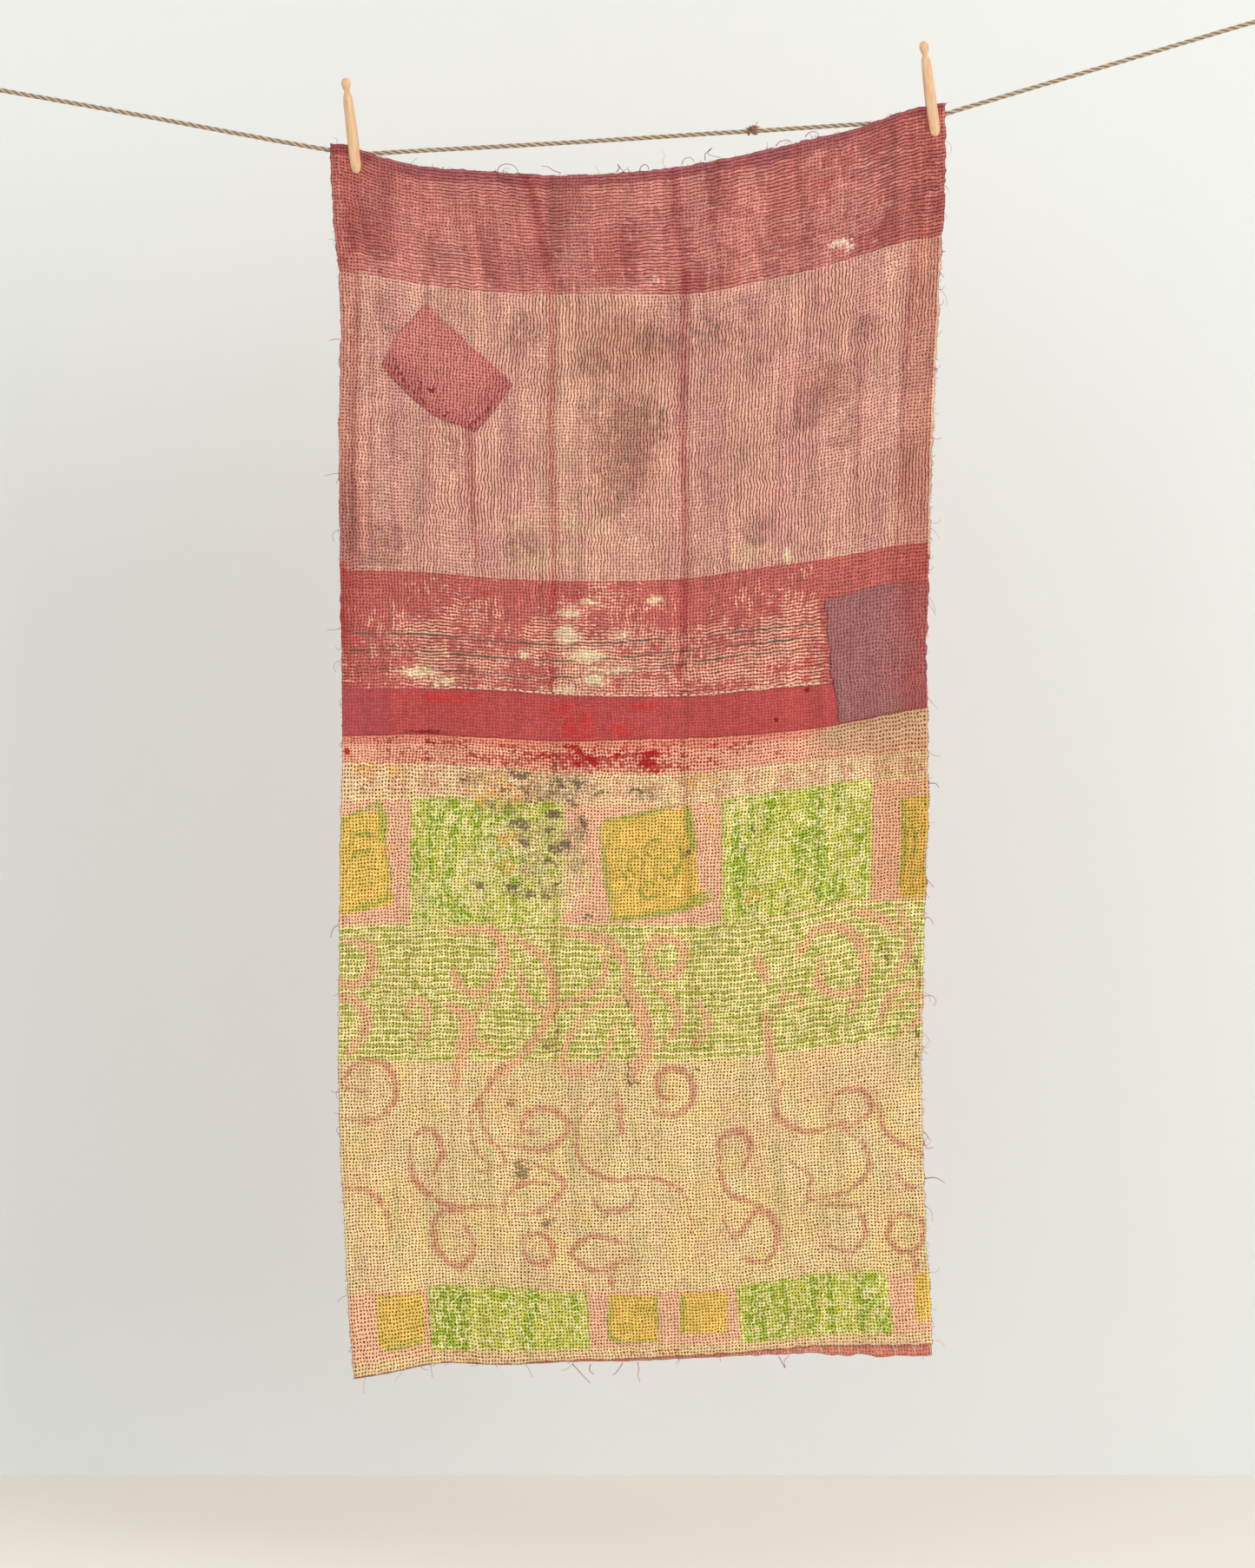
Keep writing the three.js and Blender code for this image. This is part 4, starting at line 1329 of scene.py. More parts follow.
FLOWER_DRIFTS = (
    (180, 745, 24, 20), (158, 738, 12, 9), (214, 750, 16, 9), (56, 812, 10, 9), (200, 800, 14, 12),
    (424, 730, 18, 10), (30, 727, 14, 8), (194, 830, 12, 9), (490, 868, 9, 10), (232, 722, 14, 6),
    (66, 724, 16, 8), (440, 780, 9, 9),
)
YELLOW_DRIFTS = (
    (250, 830, 44, 56), (200, 800, 26, 20), (112, 888, 20, 9), (96, 860, 12, 20), (160, 845, 26, 30),
    (466, 768, 16, 18), (596, 770, 22, 8),
)
# Holes, each ragged, and small dark flecks.
HOLES = (
    (216, 1181, 7, 8), (211, 1172, 5, 4), (205, 1101, 4, 3), (242, 1240, 5, 5), (247, 1035, 5, 5),
    (350, 1076, 6, 2), (368, 1164, 3, 3), (428, 1062, 3, 3), (250, 1234, 3, 3),
)
SPOTS = (
    (216, 1178, 13, 13), (242, 1240, 8, 9), (350, 1076, 10, 5), (247, 1036, 8, 8), (377, 1391, 12, 5),
    (340, 1392, 9, 3), (205, 1101, 6, 5), (606, 1090, 5, 3), (505, 1010, 6, 6), (126, 1386, 6, 3),
    (172, 1380, 5, 2), (510, 1300, 4, 3), (104, 1206, 3, 3), (430, 1236, 3, 3), (520, 1012, 3, 3),
)
# Red that shows through the coral band, and the pink squares of the band under it.
RED_BITS = (
    (281, 696, 6, 5), (294, 704, 10, 4), (280, 709, 5, 4), (300, 708, 5, 4), (366, 698, 14, 4),
    (362, 708, 10, 5), (105, 693, 7, 2), (6, 705, 6, 4), (240, 702, 10, 2), (270, 690, 10, 3),
    (326, 700, 8, 3), (372, 716, 9, 2),
)
SQUARES = tuple(
    ((30 + 38 * k, 736 + 3 * (k % 2)), (9 + 2 * (k % 3), 12), 3.0 * (k % 3 - 1))
    for k in range(18)
    if k != 6
)


def nearest_box(across: Array, down: Array, boxes: Any) -> Array:
    """Signed distance to the nearest of several turned boxes."""
    return np.min([box_distance(across, down, *box) for box in boxes], axis=0)


def crease_shade_distance(across: Array, drop: Array) -> Array:
    """Signed distance to the nearest crease; a shallow one counts as farther, so that it is tinted less: the
    tint is partly the crease's own darker colour and partly painted shade in it.
    """
    found = [crease.distance(across, drop) + 4.0 * max(1.6 - abs(crease.depth), 0) for crease in CREASES]
    return np.min(found, axis=0)


def upper_distances(across: Array, down: Array) -> dict[str, Array]:
    """The rose sari's layers: each one's signed distance in mm, by name.

    Args:
        across: places across.
        down: the same places' `down`.

    Returns:
        The distances by layer.
    """
    fade, wear = level("fade"), level("wear")
    drop = CLOTH.drop(across, down)
    in_beige = np.maximum(fade - down, down - wear)
    lines = np.full(across.shape, FAR)
    for drops in GREEN_LINES:
        lines = np.minimum(lines, np.abs(drop - curve_through((0, 80, 255, 481, 578), drops, across)) - 1.5)
    streaks = 9 * ripple(across, down, (13, 170), 31) + 5 * ripple(across, down, (6, 90), 32)
    centre = np.abs(across - 285 - 0.02 * drop) - 60 - 30 * ripple(across, down, (30, 60), 21)
    mottled = 5 - 24 * ripple(across - 0.14 * down, down, (10, 150), 46)
    bleached = 4 - 14 * ripple(across, down, (34, 60), 34) - 6 * smooth_step(640, 560, across)
    worn_through = (
        -8.0
        + 13 * smooth_step(wear + 12, wear + 66, down)
        + 6 * bell(across, 290, 60)
        + 3 * bell(across, 96, 22) * bell(down, 612, 18)
        + 4 * bell(across, 520, 60) * bell(down, 590, 30)
        # Less worn cream towards the left edge: painted shade, darker at the left.
        - 10 * smooth_step(90, 20, across)
        + 10 * ripple(across, down, (34, 16), 22)
        + 6 * ripple(across, down, (12, 9), 33)
        + 0.5 * np.minimum(spot_distance(across, down, RED_FIELDS), 0)
    )
    return {
        "ruddy": 330 - across + 40 * ripple(across, down, (60, 50), 38),
        "deep": spot_distance(across, down, DEEP),
        "mottled": np.maximum(mottled, down - fade),
        "bleached": np.maximum(bleached, down - fade),
        "beige": in_beige,
        "mauved": np.maximum(streaks + 1.0 - 6 * smooth_step(150, 20, across), in_beige),
        "centre": np.maximum(centre, in_beige),
        "yellowed": spot_distance(across, down, YELLOWED),
        "worn": wear - down,
        "worn_through": np.maximum(np.where(down > wear, -worn_through, 30.0), across - 572),
        "worn_bare": np.maximum(np.where(down > wear + 60, 9 - worn_through, 30.0), across - 572),
        "greens": np.maximum(lines, np.maximum(8 - across, across - 560)),
        # Painted shade: a darker strip along the turned top hem.
        "hem": down - 45 + 4 * ripple(across, down, (60, 9), 23) + 4 * smooth_step(500, 620, across),
        "ghosts": np.maximum(spot_distance(across, down, GHOSTS), -0.4),
        "stains": spot_distance(across, down, STAINS),
        "pale": spot_distance(across, down, PALE_SPOTS),
        "white": spot_distance(across, down, WHITE_BITS),
        "reds": spot_distance(across, down, RED_SPOTS),
        "creases": crease_shade_distance(across, drop),
        # Painted shade: darker towards both side edges.
        "shaded_margins": np.minimum(across - 24, 664 - across) + 10 * ripple(across, down, (40, 90), 24),
        "selvedge": np.maximum(692.4 - across, np.abs(drop - 300) - 170),
    }


def lower_distances(across: Array, down: Array) -> dict[str, Array]:
    """The yellow sari's layers: each one's signed distance in mm, by name.

    Args:
        across: places across.
        down: the same places' `down`.

    Returns:
        The distances by layer.
    """
    coral, blocks, stripes = level("coral"), level("blocks"), level("stripes")
    plain, border, hem = level("plain"), level("border"), level("hem")
    # Less greyed towards the left edge: painted light, a lighter left side over the cloth's random greying.
    greyed = 6 + 9 * smooth_step(220, 60, across) - 20 * ripple(across, down, (11, 150), 27)
    dashed = 6 - 16 * bell(across, 280, 150) + 8 * ripple(across, down, (26, 12), 35)
    dashed = dashed + 14 * smooth_step(500, 590, across)
    upper_pink = np.maximum(blocks + 2 - down, down - stripes + 2)
    green = nearest_box(across, down, GREEN_BLOCKS)
    return {
        "greyed": greyed - 12 * ripple(across, down, (26, 60), 36),
        "warmed": 4 - 26 * ripple(across, down, (36, 30), 28),
        "blushed": 8 - 26 * ripple(across, down, (20, 44), 39),
        "peach": down - blocks,
        "squares": nearest_box(across, down, SQUARES),
        "striped": np.maximum(stripes - down, down - plain),
        "pinks": np.minimum(upper_pink, np.maximum(border - down, down - hem + 13)),
        "greenblocks": green,
        "greened": np.maximum(green, 4 - 30 * ripple(across, down, (9, 55), 45)),
        "yellows": np.maximum(spot_distance(across, down, YELLOW_DRIFTS), -4.0),
        "orangeblocks": nearest_box(across, down, ORANGE_BLOCKS),
        "greenrims": stroke_distance(across, down, GREEN_RIMS),
        "flowers": stroke_distance(across, down, FLOWERS),
        "oranges": np.maximum(spot_distance(across, down, FLOWER_DRIFTS), 0.0),
        "leaves": np.maximum(spot_distance(across, down, LEAF_DRIFTS), 0.2),
        "leafmarks": stroke_distance(across, down, LEAF_MARKS),
        "ribbons": stroke_distance(across, down, RIBBONS),
        "scrolls": stroke_distance(across, down, SCROLLS) + 1.0,
        "coralled": down - coral,
        "coralrim": down - 694 + 3 * ripple(across, down, (40, 9), 37),
        "coralgreen": np.maximum(down - coral + 4, 566 + 14 * ripple(across, down, (20, 12), 26) - across),
        "dashes": np.maximum(np.maximum(down - coral + 2, 692 - down), dashed),
        "redbits": spot_distance(across, down, RED_BITS),
        "creases": crease_shade_distance(across, CLOTH.drop(across, down)),
        # Painted shade: browner and darker at the right of the block rows.
        "shaded_right": np.maximum(630 - across, np.abs(down - 800) - 90),
        "hemmed": hem - 12 - down,
        "spots": np.maximum(spot_distance(across, down, SPOTS), 0.3),
        "holes": np.maximum(spot_distance(across, down, HOLES), -1.2),
    }


UPPER_LAYERS = (
    Layer("ruddy", "#bd6e64", "#78302e", 120, 20, 60, 0.75),
    Layer("deep", "#b65e58", "#722826", 22, 9, 26, 0.55),
    Layer("mottled", "#a35552", "#642428", 7, 3, 12, 0.5),
    Layer("bleached", "#e6a294", "#96443e", 12, 6, 16, 0.45, Pattern.WEAVE, 22),
    Layer("beige", "#e2ac96", "#80443a", 1.5, 1.0, 6),
    Layer("mauved", "#d0918a", "#783a36", 6, 5, 14, 0.6),
    Layer("centre", "#ebbc9e", "#8a5240", 16, 10, 16, 0.45),
    Layer("yellowed", "#e8c49a", "#8c6444", 10, 8, 12, 0.5, Pattern.WEAVE, 18),
    Layer("worn", "#c4685f", "#7e2e2e", 1.2, 0.8, 6),
    Layer("worn_through", "#efb498", "#86302c", 18, 4, 12, 0.85, Pattern.WEAVE, 12, height=Height.CROWNS),
    Layer("worn_bare", "#f3c4a2", "#a8584a", 5, 5, 9, 0.5, Pattern.WEAVE, 9, height=Height.CROWNS),
    Layer("greens", "#75604e", "#463a30", 1.0, 0.4, 16, 0.95),
    Layer("pale", "#f4deb6", "#b88a6c", 5.0, 4.0, 5, 0.95, Pattern.WEAVE, 8),
    Layer("pale", "#ecd2a8", "#c09474", 4.0, 5.0, 4, 0.5),
    # Painted shade of the turned top hem.
    Layer("hem", "#a3595a", "#762f34", 2.0, 1.5, 9, 0.85),
    # Darker along the creases, deeper ones more: partly their own colour, partly painted shade.
    Layer("creases", "#dcaeb2", "#cc989c", 5.0, 1.5, 16, 0.7, blend=Blend.TINT),
    # Painted shade, darker towards both side edges.
    Layer("shaded_margins", "#deb0aa", "#c89490", 12, 6, 24, 0.5, blend=Blend.TINT),
    Layer("selvedge", "#e6c29a", "#c09470", 0.8, 0.5, 20, 0.8),
    Layer("stains", "#cdb0a4", "#ac8a80", 26, 7, 14, 0.5, blend=Blend.TINT),
    Layer("ghosts", "#c8b4ac", "#9a8884", 8.0, 9, 13, 0.5, blend=Blend.TINT),
    Layer("ghosts", "#96766e", "#503c3c", 7.0, 8, 12, 0.55, Pattern.VINES, 8),
    Layer("reds", "#c03030", "#8c1418", 3.5, 3.0, 5, 0.8),
    Layer("white", "#f6dcc4", "#d8a896", 3.0, 2.0, 4, 0.9, Pattern.WEAVE, 5),
)

LOWER_LAYERS = (
    Layer("warmed", "#f8d890", "#744620", 12, 6, 20, 0.7),
    Layer("greyed", "#e2c98e", "#6c5028", 10, 6, 16, 0.65),
    Layer("blushed", "#efc498", "#74442a", 10, 6, 14, 0.45),
    Layer("striped", "#f7e79c", "#6e5a26", 1.5, 1.0, 9, 0.9),
    Layer("striped", "#acb23e", "#4c500c", 1.5, 1.0, 9, 0.88, Pattern.STRIPES, 70),
    Layer("peach", "#f2c698", "#7e4c2e", 6, 4, 18, 0.7),
    Layer("squares", "#d8987c", "#7c4434", 3.0, 2.5, 9, 0.65),
    Layer("peach", "#fae4b4", "#94703e", 3.0, 1.0, 18, 0.75, Pattern.VINES, 7.5),
    Layer("pinks", "#f6c09a", "#7c442e", 2.0, 2.0, 12, 1.0),
    Layer("greenblocks", "#c4c850", "#545612", 1.5, 2.0, 6, 1.0),
    Layer("greenblocks", "#e2dc64", "#6c661a", 1.5, 1.5, 9, 0.6, Pattern.BLOTCHES, 13),
    Layer("greened", "#9cb430", "#405412", 5, 4, 8, 0.92),
    Layer("greenblocks", "#f4e8a4", "#948648", 0.5, 0.5, 9, 0.85, Pattern.VINES, 10),
    Layer("yellows", "#f0dc88", "#7a6224", 6, 7, 10, 0.85, Pattern.BLOTCHES, 12),
    Layer("yellows", "#f6e6b4", "#94783c", 6, 7, 10, 0.7, Pattern.VINES, 9),
    Layer("orangeblocks", "#f5cb68", "#7c5418", 1.5, 1.5, 8, 1.0),
    Layer("orangeblocks", "#ccb44c", "#5c5414", 1.0, 0.5, 9, 0.45, Pattern.BLOTCHES, 14),
    Layer("flowers", "#96a040", "#484a14", 1.2, 2.0, 6, 0.7),
    Layer("greenrims", "#b0b64c", "#565a1a", 1.6, 2.4, 6, 0.8),
    Layer("oranges", "#f2b85e", "#8a541c", 1.2, 3.5, 8, 0.7),
    Layer("leaves", "#b49672", "#5c462e", 2.0, 3.5, 6.5, 0.6),
    Layer("leaves", "#8a7052", "#4a3822", 7.0, 3.0, 9, 0.85, Pattern.VINES, 8),
    Layer("leafmarks", "#806c54", "#4c3e2c", 2.0, 2.6, 4.5, 0.9, Pattern.WEAVE, 7),
    Layer("ribbons", "#f2b68c", "#74382a", 4.0, 3.0, 9, 0.8),
    Layer("scrolls", "#d48a70", "#742e22", 2.4, 2.6, 8, 0.7),
    Layer("coralled", "#f2b292", "#963c2c", 1.2, 0.8, 9, 1.0),
    Layer("coralrim", "#e69078", "#a04030", 2.0, 1.0, 9, 0.9),
    Layer("coralgreen", "#ccaa80", "#744c32", 26, 10, 16, 0.85),
    Layer("dashes", "#b83c34", "#860c12", 14.0, 3.0, 8, 0.85, height=Height.DIPS),
    Layer("dashes", "#b43430", "#860c12", 16.0, 3.0, 8, 0.85, Pattern.ROWS, 8),
    Layer("redbits", "#b01a1e", "#8c1014", 1.0, 2.2, 4, 0.95),
    # Darker along the creases, deeper ones more: partly their own colour, partly painted shade.
    Layer("creases", "#d6ccba", "#ccc2b0", 6.0, 2.0, 16, 0.5, blend=Blend.TINT),
    # Painted shade at the right of the block rows.
    Layer("shaded_right", "#dcc8b0", "#d0bca4", 20.0, 10.0, 22, 0.5, blend=Blend.TINT),
    Layer("hemmed", "#f0c898", "#7e4c2c", 1.5, 1.0, 9, 0.6),
    Layer("spots", "#b87840", "#74462a", 0.9, 3.0, 4.5, 0.7),
    Layer("holes", "#8e7e58", "#4e4030", 0.8, 2.5, 4, 0.85),
)


def rib_field(across: Array, down: Array) -> Array:
    """Whether stitches line up as level rows (-1), dots (0) or upright ribs (1), patch by patch.

    Args:
        across: places across.
        down: the same places' `down`.

    Returns:
        The field at those places.
    """
    fade, wear, seam = level("fade"), level("wear"), level("seam")
    drift = 0.55 * ripple(across, down, (34, 46), 41)
    rose = -0.6 + 0.4 * smooth_step(60, 0, across) + drift
    beige = 0.15 + 0.6 * smooth_step(70, 170, across) - 0.2 * smooth_step(520, 640, across) + drift
    worn = 0.2 - 0.5 * smooth_step(wear + 30, wear + 60, down) + drift
    upper = np.where(down < fade, rose, np.where(down < wear, beige, worn))
    return np.clip(np.where(down > seam, 0.06 * drift, upper), -1.0, 1.0)


def dye_at(cotton: QuiltedCotton, distances: dict[str, Array]) -> Array:
    """The colour of a cotton's dips after its layers, at many places, worked out without the noise.

    Args:
        cotton: the cotton.
        distances: its layers' distances at N places.

    Returns:
        N x 3 linear colours.
    """
    shown = np.tile(dye_of(cotton.valley), (len(next(iter(distances.values()))), 1))
    for layer in cotton.layers:
        share = layer.cover * smooth_step(layer.soft, -layer.soft, distances[layer.name])
        share = share * (1.0 if layer.pattern is Pattern.PLAIN else 0.5)
        ink = dye_of(layer.valley)
        laid = shown * ink if layer.blend is Blend.TINT else ink
        shown = shown + (laid - shown) * share[:, None]
    # dip_shade is the dips' painted shade.
    return shown * np.array(cotton.dip_shade)


# --- the cloth's pieces ---


def build_sheet(
    name: str,
    slot: str,
    node: str,
    cotton: QuiltedCotton,
    front: Array,
    depth: float,
    places: Array,
    **fields: Array,
) -> Piece:
    """A closed sheet of cloth: its back is its front moved straight back.

    Args:
        name: the piece's name.
        slot: its material slot, handed to build_piece, which does not use it.
        node: the CAD node that it replaces.
        cotton: its finish.
        front: rows x columns x 3 points.
        depth: its thickness.
        places: rows x columns x 2 places from 0 to 1, for the bake.
        fields: the finish's attributes, numbers or vectors over the same grid.

    Returns:
        The piece.
    """
    points, faces = shell(front, front + np.array([0.0, depth, 0.0]))
    cells = len(points) // 2
    twice = {key: np.tile(values.reshape(cells, -1), (2, 1)) for key, values in fields.items()}
    bake = np.clip(np.tile(places.reshape(cells, 2), (2, 1)), 0.0, 1.0)
    return build_piece(name, points, faces, cotton.build(), slot, (node,), twice, bake)


@dataclass
class Panel:
    """One of the two front saris: a closed sheet whose points are its stitches."""

    name: str
    node: str
    slot: str
    first: float
    last: float
    cotton: QuiltedCotton
    distances: Callable[[Array, Array], dict[str, Array]]
    thickness: float = 1.2
    ragged: float = 1.3

    def build(self) -> tuple[Piece, dict[str, Array]]:
        """Builds the sheet.

        Returns:
            The piece, and its lattice with its front points as `front`.
        """
        lattice = QUILTING.lattice(self.first, self.last)
        across, down = lattice["across"], lattice["down"]
        lattice["front"] = self._frayed(CLOTH.front_face(across, down))
        fields = {
            **self.distances(across, down),
            "rib": rib_field(across, down),
            "flat": flat_places(across, down),
            "stitch": flat_places(lattice["column"], lattice["row"]),
        }
        bake = np.stack([across / WIDTH, (down - self.first) / (self.last - self.first)], -1)
        placed = (self.name, self.slot, self.node, self.cotton, lattice["front"], self.thickness, bake)
        return build_sheet(*placed, **fields), lattice

    def _frayed(self, front: Array) -> Array:
        """The front with its cut edges moved in and out by a little, unevenly, as a worn edge is.

        Args:
            front: rows x columns x 3 points, which it changes.

        Returns:
            The same points.
        """
        along = np.arange(front.shape[0]) * QUILTING.row
        across = np.arange(front.shape[1]) * QUILTING.column
        for column, seed, share in ((0, 51, 0.6), (-1, 52, 1.0)):
            worn = self.ragged * ripple(along, along * 0, (5, 1), seed)
            front[:, column, 0] += share * (worn + 1.1 * ripple(along, along * 0, (17, 1), seed + 5))
        row = 0 if self.first < JOIN else -1
        front[row, :, 2] += 1.1 * self.ragged * ripple(across, across * 0, (6, 1), 53)
        return front


@dataclass
class RunningStitches:
    """The stitches themselves: each a small closed grain of thread, sunk into its dip.

    A grain has five corners, two at its tips and three round its middle, and six faces. `darker` is
    how bright a stitch is beside the dip it lies in, and `upright` is where ribs turn it upright. The
    grains take the dips' colour darkened: partly the thread's own dark and partly painted shade of
    the dips.
    """

    name: str
    darker: float = 0.62
    length: float = 1.7
    width: float = 0.95
    height: float = 0.42
    sunk: float = 0.12
    missing: float = 0.03
    astray: float = 0.1
    upright: Pair = (0.25, 0.7)
    seed: int = 5

    GRAIN = ((0, 4, 2), (0, 3, 4), (1, 2, 4), (1, 4, 3), (0, 2, 3), (1, 3, 2))
    # Where a grain's corners lie on the bake's map, from the middle of its stitch.
    SPREAD = ((-0.001, 0), (0.001, 0), (0, -0.0015), (0, 0.0015), (0, 0))

    def build(self, panel: Panel, lattice: dict[str, Array], rows: slice, material: Finish) -> Piece:
        """Builds the stitches on some of a panel's rows.

        Args:
            panel: the panel.
            lattice: its lattice and front points.
            rows: which rows.
            material: the thread's finish.

        Returns:
            The piece.
        """
        front = lattice["front"][rows, 1:-1]
        across, down = lattice["across"][rows, 1:-1].ravel(), lattice["down"][rows, 1:-1].ravel()
        along, below = (unit(np.gradient(front, axis=axis)).reshape(-1, 3) for axis in (1, 0))
        centre = front.reshape(-1, 3)
        rng = np.random.default_rng(self.seed)
        kept = rng.random(len(centre)) > self.missing
        across, down, along, below, centre = (v[kept] for v in (across, down, along, below, centre))
        count = len(centre)
        upright = smooth_step(*self.upright, rib_field(across, down))[:, None]
        heading = unit(along * (1 - upright) + below * upright + 0.18 * rng.normal(size=(count, 1)) * below)
        outward = unit(np.cross(below, along))
        outward = outward * np.where(outward[:, 1:2] > 0, -1.0, 1.0)
        sideways = np.cross(outward, heading)
        scale = rng.uniform(0.8, 1.2, (count, 1))
        tip, half = heading * 0.5 * self.length * scale, sideways * 0.5 * self.width * scale
        stray = rng.normal(0, self.astray, (2, count, 1))
        base = centre + stray[0] * along + stray[1] * below - outward * self.sunk
        crown = base + outward * (self.height + self.sunk) * scale
        points = np.stack([base - tip, base + tip, base - half, base + half, crown], 1)
        grain = np.array(self.GRAIN)
        grain = grain if np.dot(np.cross(sideways[0], heading[0]), outward[0]) > 0 else grain[:, ::-1]
        faces = (grain[None] + 5 * np.arange(count)[:, None, None]).reshape(-1, 3)
        # Painted shade: each grain is the dips' colour times `darker`, partly the thread's own dark and
        # partly the shade of its dip.
        brightness = self.darker * rng.uniform(0.75, 1.15, (count, 1))
        dyes = dye_at(panel.cotton, panel.distances(across, down)) * brightness
        flat = np.stack([across / WIDTH, (down - down.min()) / np.ptp(down)], -1)
        bake = np.clip((flat[:, None] + np.array(self.SPREAD)).reshape(-1, 2), 0.0, 1.0)
        points = points.reshape(-1, 3)
        return build_threads(self.name, points, faces, dyes, material, panel.slot, bake_map=bake)


@dataclass
class Patch:
    """A piece sewn on the front: a closed sheet that stands forward, with its edges drawn down."""

    name: str
    node: str
    slot: str
    cotton: QuiltedCotton
    rib: float = 0.0
    thickness: float = 0.55
    tucked: float = 0.85
    tuck_width: float = 7.0

    def build(self, across: Array, down: Array, forward: Any, **distances: Array) -> Piece:
        """Builds the patch on a grid of places.

        Args:
            across: rows x columns places across.
            down: the same places' `down`.
            forward: how far its front face stands in front of the panels.
            distances: its layers' distances.

        Returns:
            The piece.
        """
        rows, columns = across.shape
        s, t = np.meshgrid(np.linspace(0, 1, columns), np.linspace(0, 1, rows))
        width = np.hypot(np.ptp(across[0]), np.ptp(down[0]))
        height = np.hypot(np.ptp(across[:, 0]), np.ptp(down[:, 0]))
        inward = np.minimum(np.minimum(s, 1 - s) * width, np.minimum(t, 1 - t) * height)
        raised = forward - self.tucked * (1 - smooth_step(0.0, self.tuck_width, inward))
        front = CLOTH.front_face(across, down, raised)
        fields = {
            **distances,
            "rib": np.clip(self.rib + 0.3 * ripple(across, down, (30, 30), 42), -1, 1),
            "flat": flat_places(across, down),
            "stitch": QUILTING.counted(across, down),
        }
        placed = (self.name, self.slot, self.node, self.cotton, front, self.thickness, np.stack([s, t], -1))
        return build_sheet(*placed, **fields)


@dataclass
class Patches:
    """The red strip over the join, the turned rose patch and the mauve patch at the right edge."""

    strip_forward: float = 1.3
    patch_forward: float = 1.65
    over_strip: float = 2.95
    diamond_turn: float = 36.5

    # The rose patch's corners from its top one clockwise: places across, and their `down`.
    DIAMOND = ((101, 191), (202, 274), (160, 332), (48.5, 267))
    # Places on the strip that kept a brighter red, and darker nicks.
    BRIGHT = (
        (122, 641, 28, 5), (270, 668, 8, 11), (290, 660, 8, 9), (284, 677, 10, 4), (331, 672, 12, 6),
        (262, 646, 12, 5), (360, 642, 14, 3),
    )
    NICKS = ((552, 636, 4, 3), (515, 668, 3, 3), (100, 680, 24, 2))

    def strip(self, cotton: QuiltedCotton) -> Piece:
        """The strip: full width, from its own cross line to the seam's.

        Args:
            cotton: its finish.

        Returns:
            The piece.
        """
        first = level("strip")
        across, down = np.meshgrid(np.linspace(0, WIDTH, 233), np.linspace(first, level("seam"), 19))
        edge = np.abs(np.linspace(-1, 1, 19))[:, None] ** 6
        down = down + 0.7 * ripple(across, down * 0, (26, 1), 61) * edge
        return Patch("red_strip_cloth", "red_strip", "red_cotton", cotton).build(
            across,
            down,
            self.strip_forward,
            bright=spot_distance(across, down, self.BRIGHT),
            shaded=np.minimum(across - 55 - 20 * ripple(across, down, (40, 30), 62), 585 - across),
            nicks=spot_distance(across, down, self.NICKS),
            drawn=down - first - 2.5,
        )

    def diamond(self, cotton: QuiltedCotton) -> Piece:
        """The rose patch: it stands on a corner, and its sides bow outwards a little.

        Args:
            cotton: its finish.

        Returns:
            The piece.
        """
        s, t = np.meshgrid(np.linspace(0, 1, 52), np.linspace(0, 1, 36))
        top, right, bottom, left = (np.array(corner, float) for corner in self.DIAMOND)
        s3, t3 = s[..., None], t[..., None]
        place = (top * (1 - s3) + right * s3) * (1 - t3) + (left * (1 - s3) + bottom * s3) * t3
        wander, rise = (1.2 * ripple(s * 110, t * 85, (14, 14), seed) for seed in (63, 69))
        along = np.sin(math.pi * t) * (-4.5 * (1 - s) + 3.0 * s) + wander
        over = 13.0 * np.sin(math.pi * s) * t + rise
        c, n = math.cos(math.radians(self.diamond_turn)), math.sin(math.radians(self.diamond_turn))
        across, down = place[..., 0] + along * c - over * n, place[..., 1] + along * n + over * c
        x, y = 124 * s, 90 * t
        # Its stitches: a row along its lower edge, a wavy one above it and one up its right side.
        dots = np.stack([np.linspace(10, 120, 16), np.full(16, 84.0)], -1)
        rows = np.stack([np.linspace(8, 110, 11), 74 + 6 * np.sin(np.linspace(0, 9, 11))], -1)
        ends = np.stack([np.full(8, 118.0), np.linspace(30, 84, 8)], -1)
        marks = [(*dot, 2.0, 1.8) for dot in np.concatenate([dots, rows, ends])]
        strayed = (x + 4 * ripple(x, y, (7, 7), 64), y + 5 * ripple(x, y, (7, 7), 70))
        return Patch("diamond_patch_cloth", "diamond_patch", "diamond_cotton", cotton, 0.45).build(
            across,
            down,
            self.patch_forward,
            marks=spot_distance(*strayed, marks),
            dusk=np.minimum(88 - y, 122 - x) - 14 + 8 * ripple(x, y, (18, 18), 65),
            flush=np.hypot((x - 30) / 50, (y - 40) / 30) * 30 - 30,
        )

    def mauve(self, cotton: QuiltedCotton) -> Piece:
        """The mauve patch: over the worn band and the right end of the strip, where it stands forward.

        Args:
            cotton: its finish.

        Returns:
            The piece.
        """
        s, t = np.meshgrid(np.linspace(0, 1, 46), np.linspace(0, 1, 58))
        left = 573 + 18 * t + 1.6 * ripple(t * 160, t * 0, (9, 1), 66)
        across = left + (693.5 - left) * s
        top = curve_through((573, 648, 695), (542, 542, 546), across) - 6 * smooth_step(573, 648, across)
        down = top + (level("seam") - 1.5 - top) * t
        lifted = smooth_step(level("strip") - 40, level("strip") - 20, down)
        return Patch("mauve_patch_cloth", "mauve_patch", "mauve_cotton", cotton, 0.3).build(
            across,
            down,
            self.patch_forward + (self.over_strip - self.patch_forward) * lifted,
            slate=across - left - 62 - 10 * ripple(across, down, (20, 40), 67),
            rosyedge=668 - across + 8 * ripple(across, down, (20, 40), 68),
        )


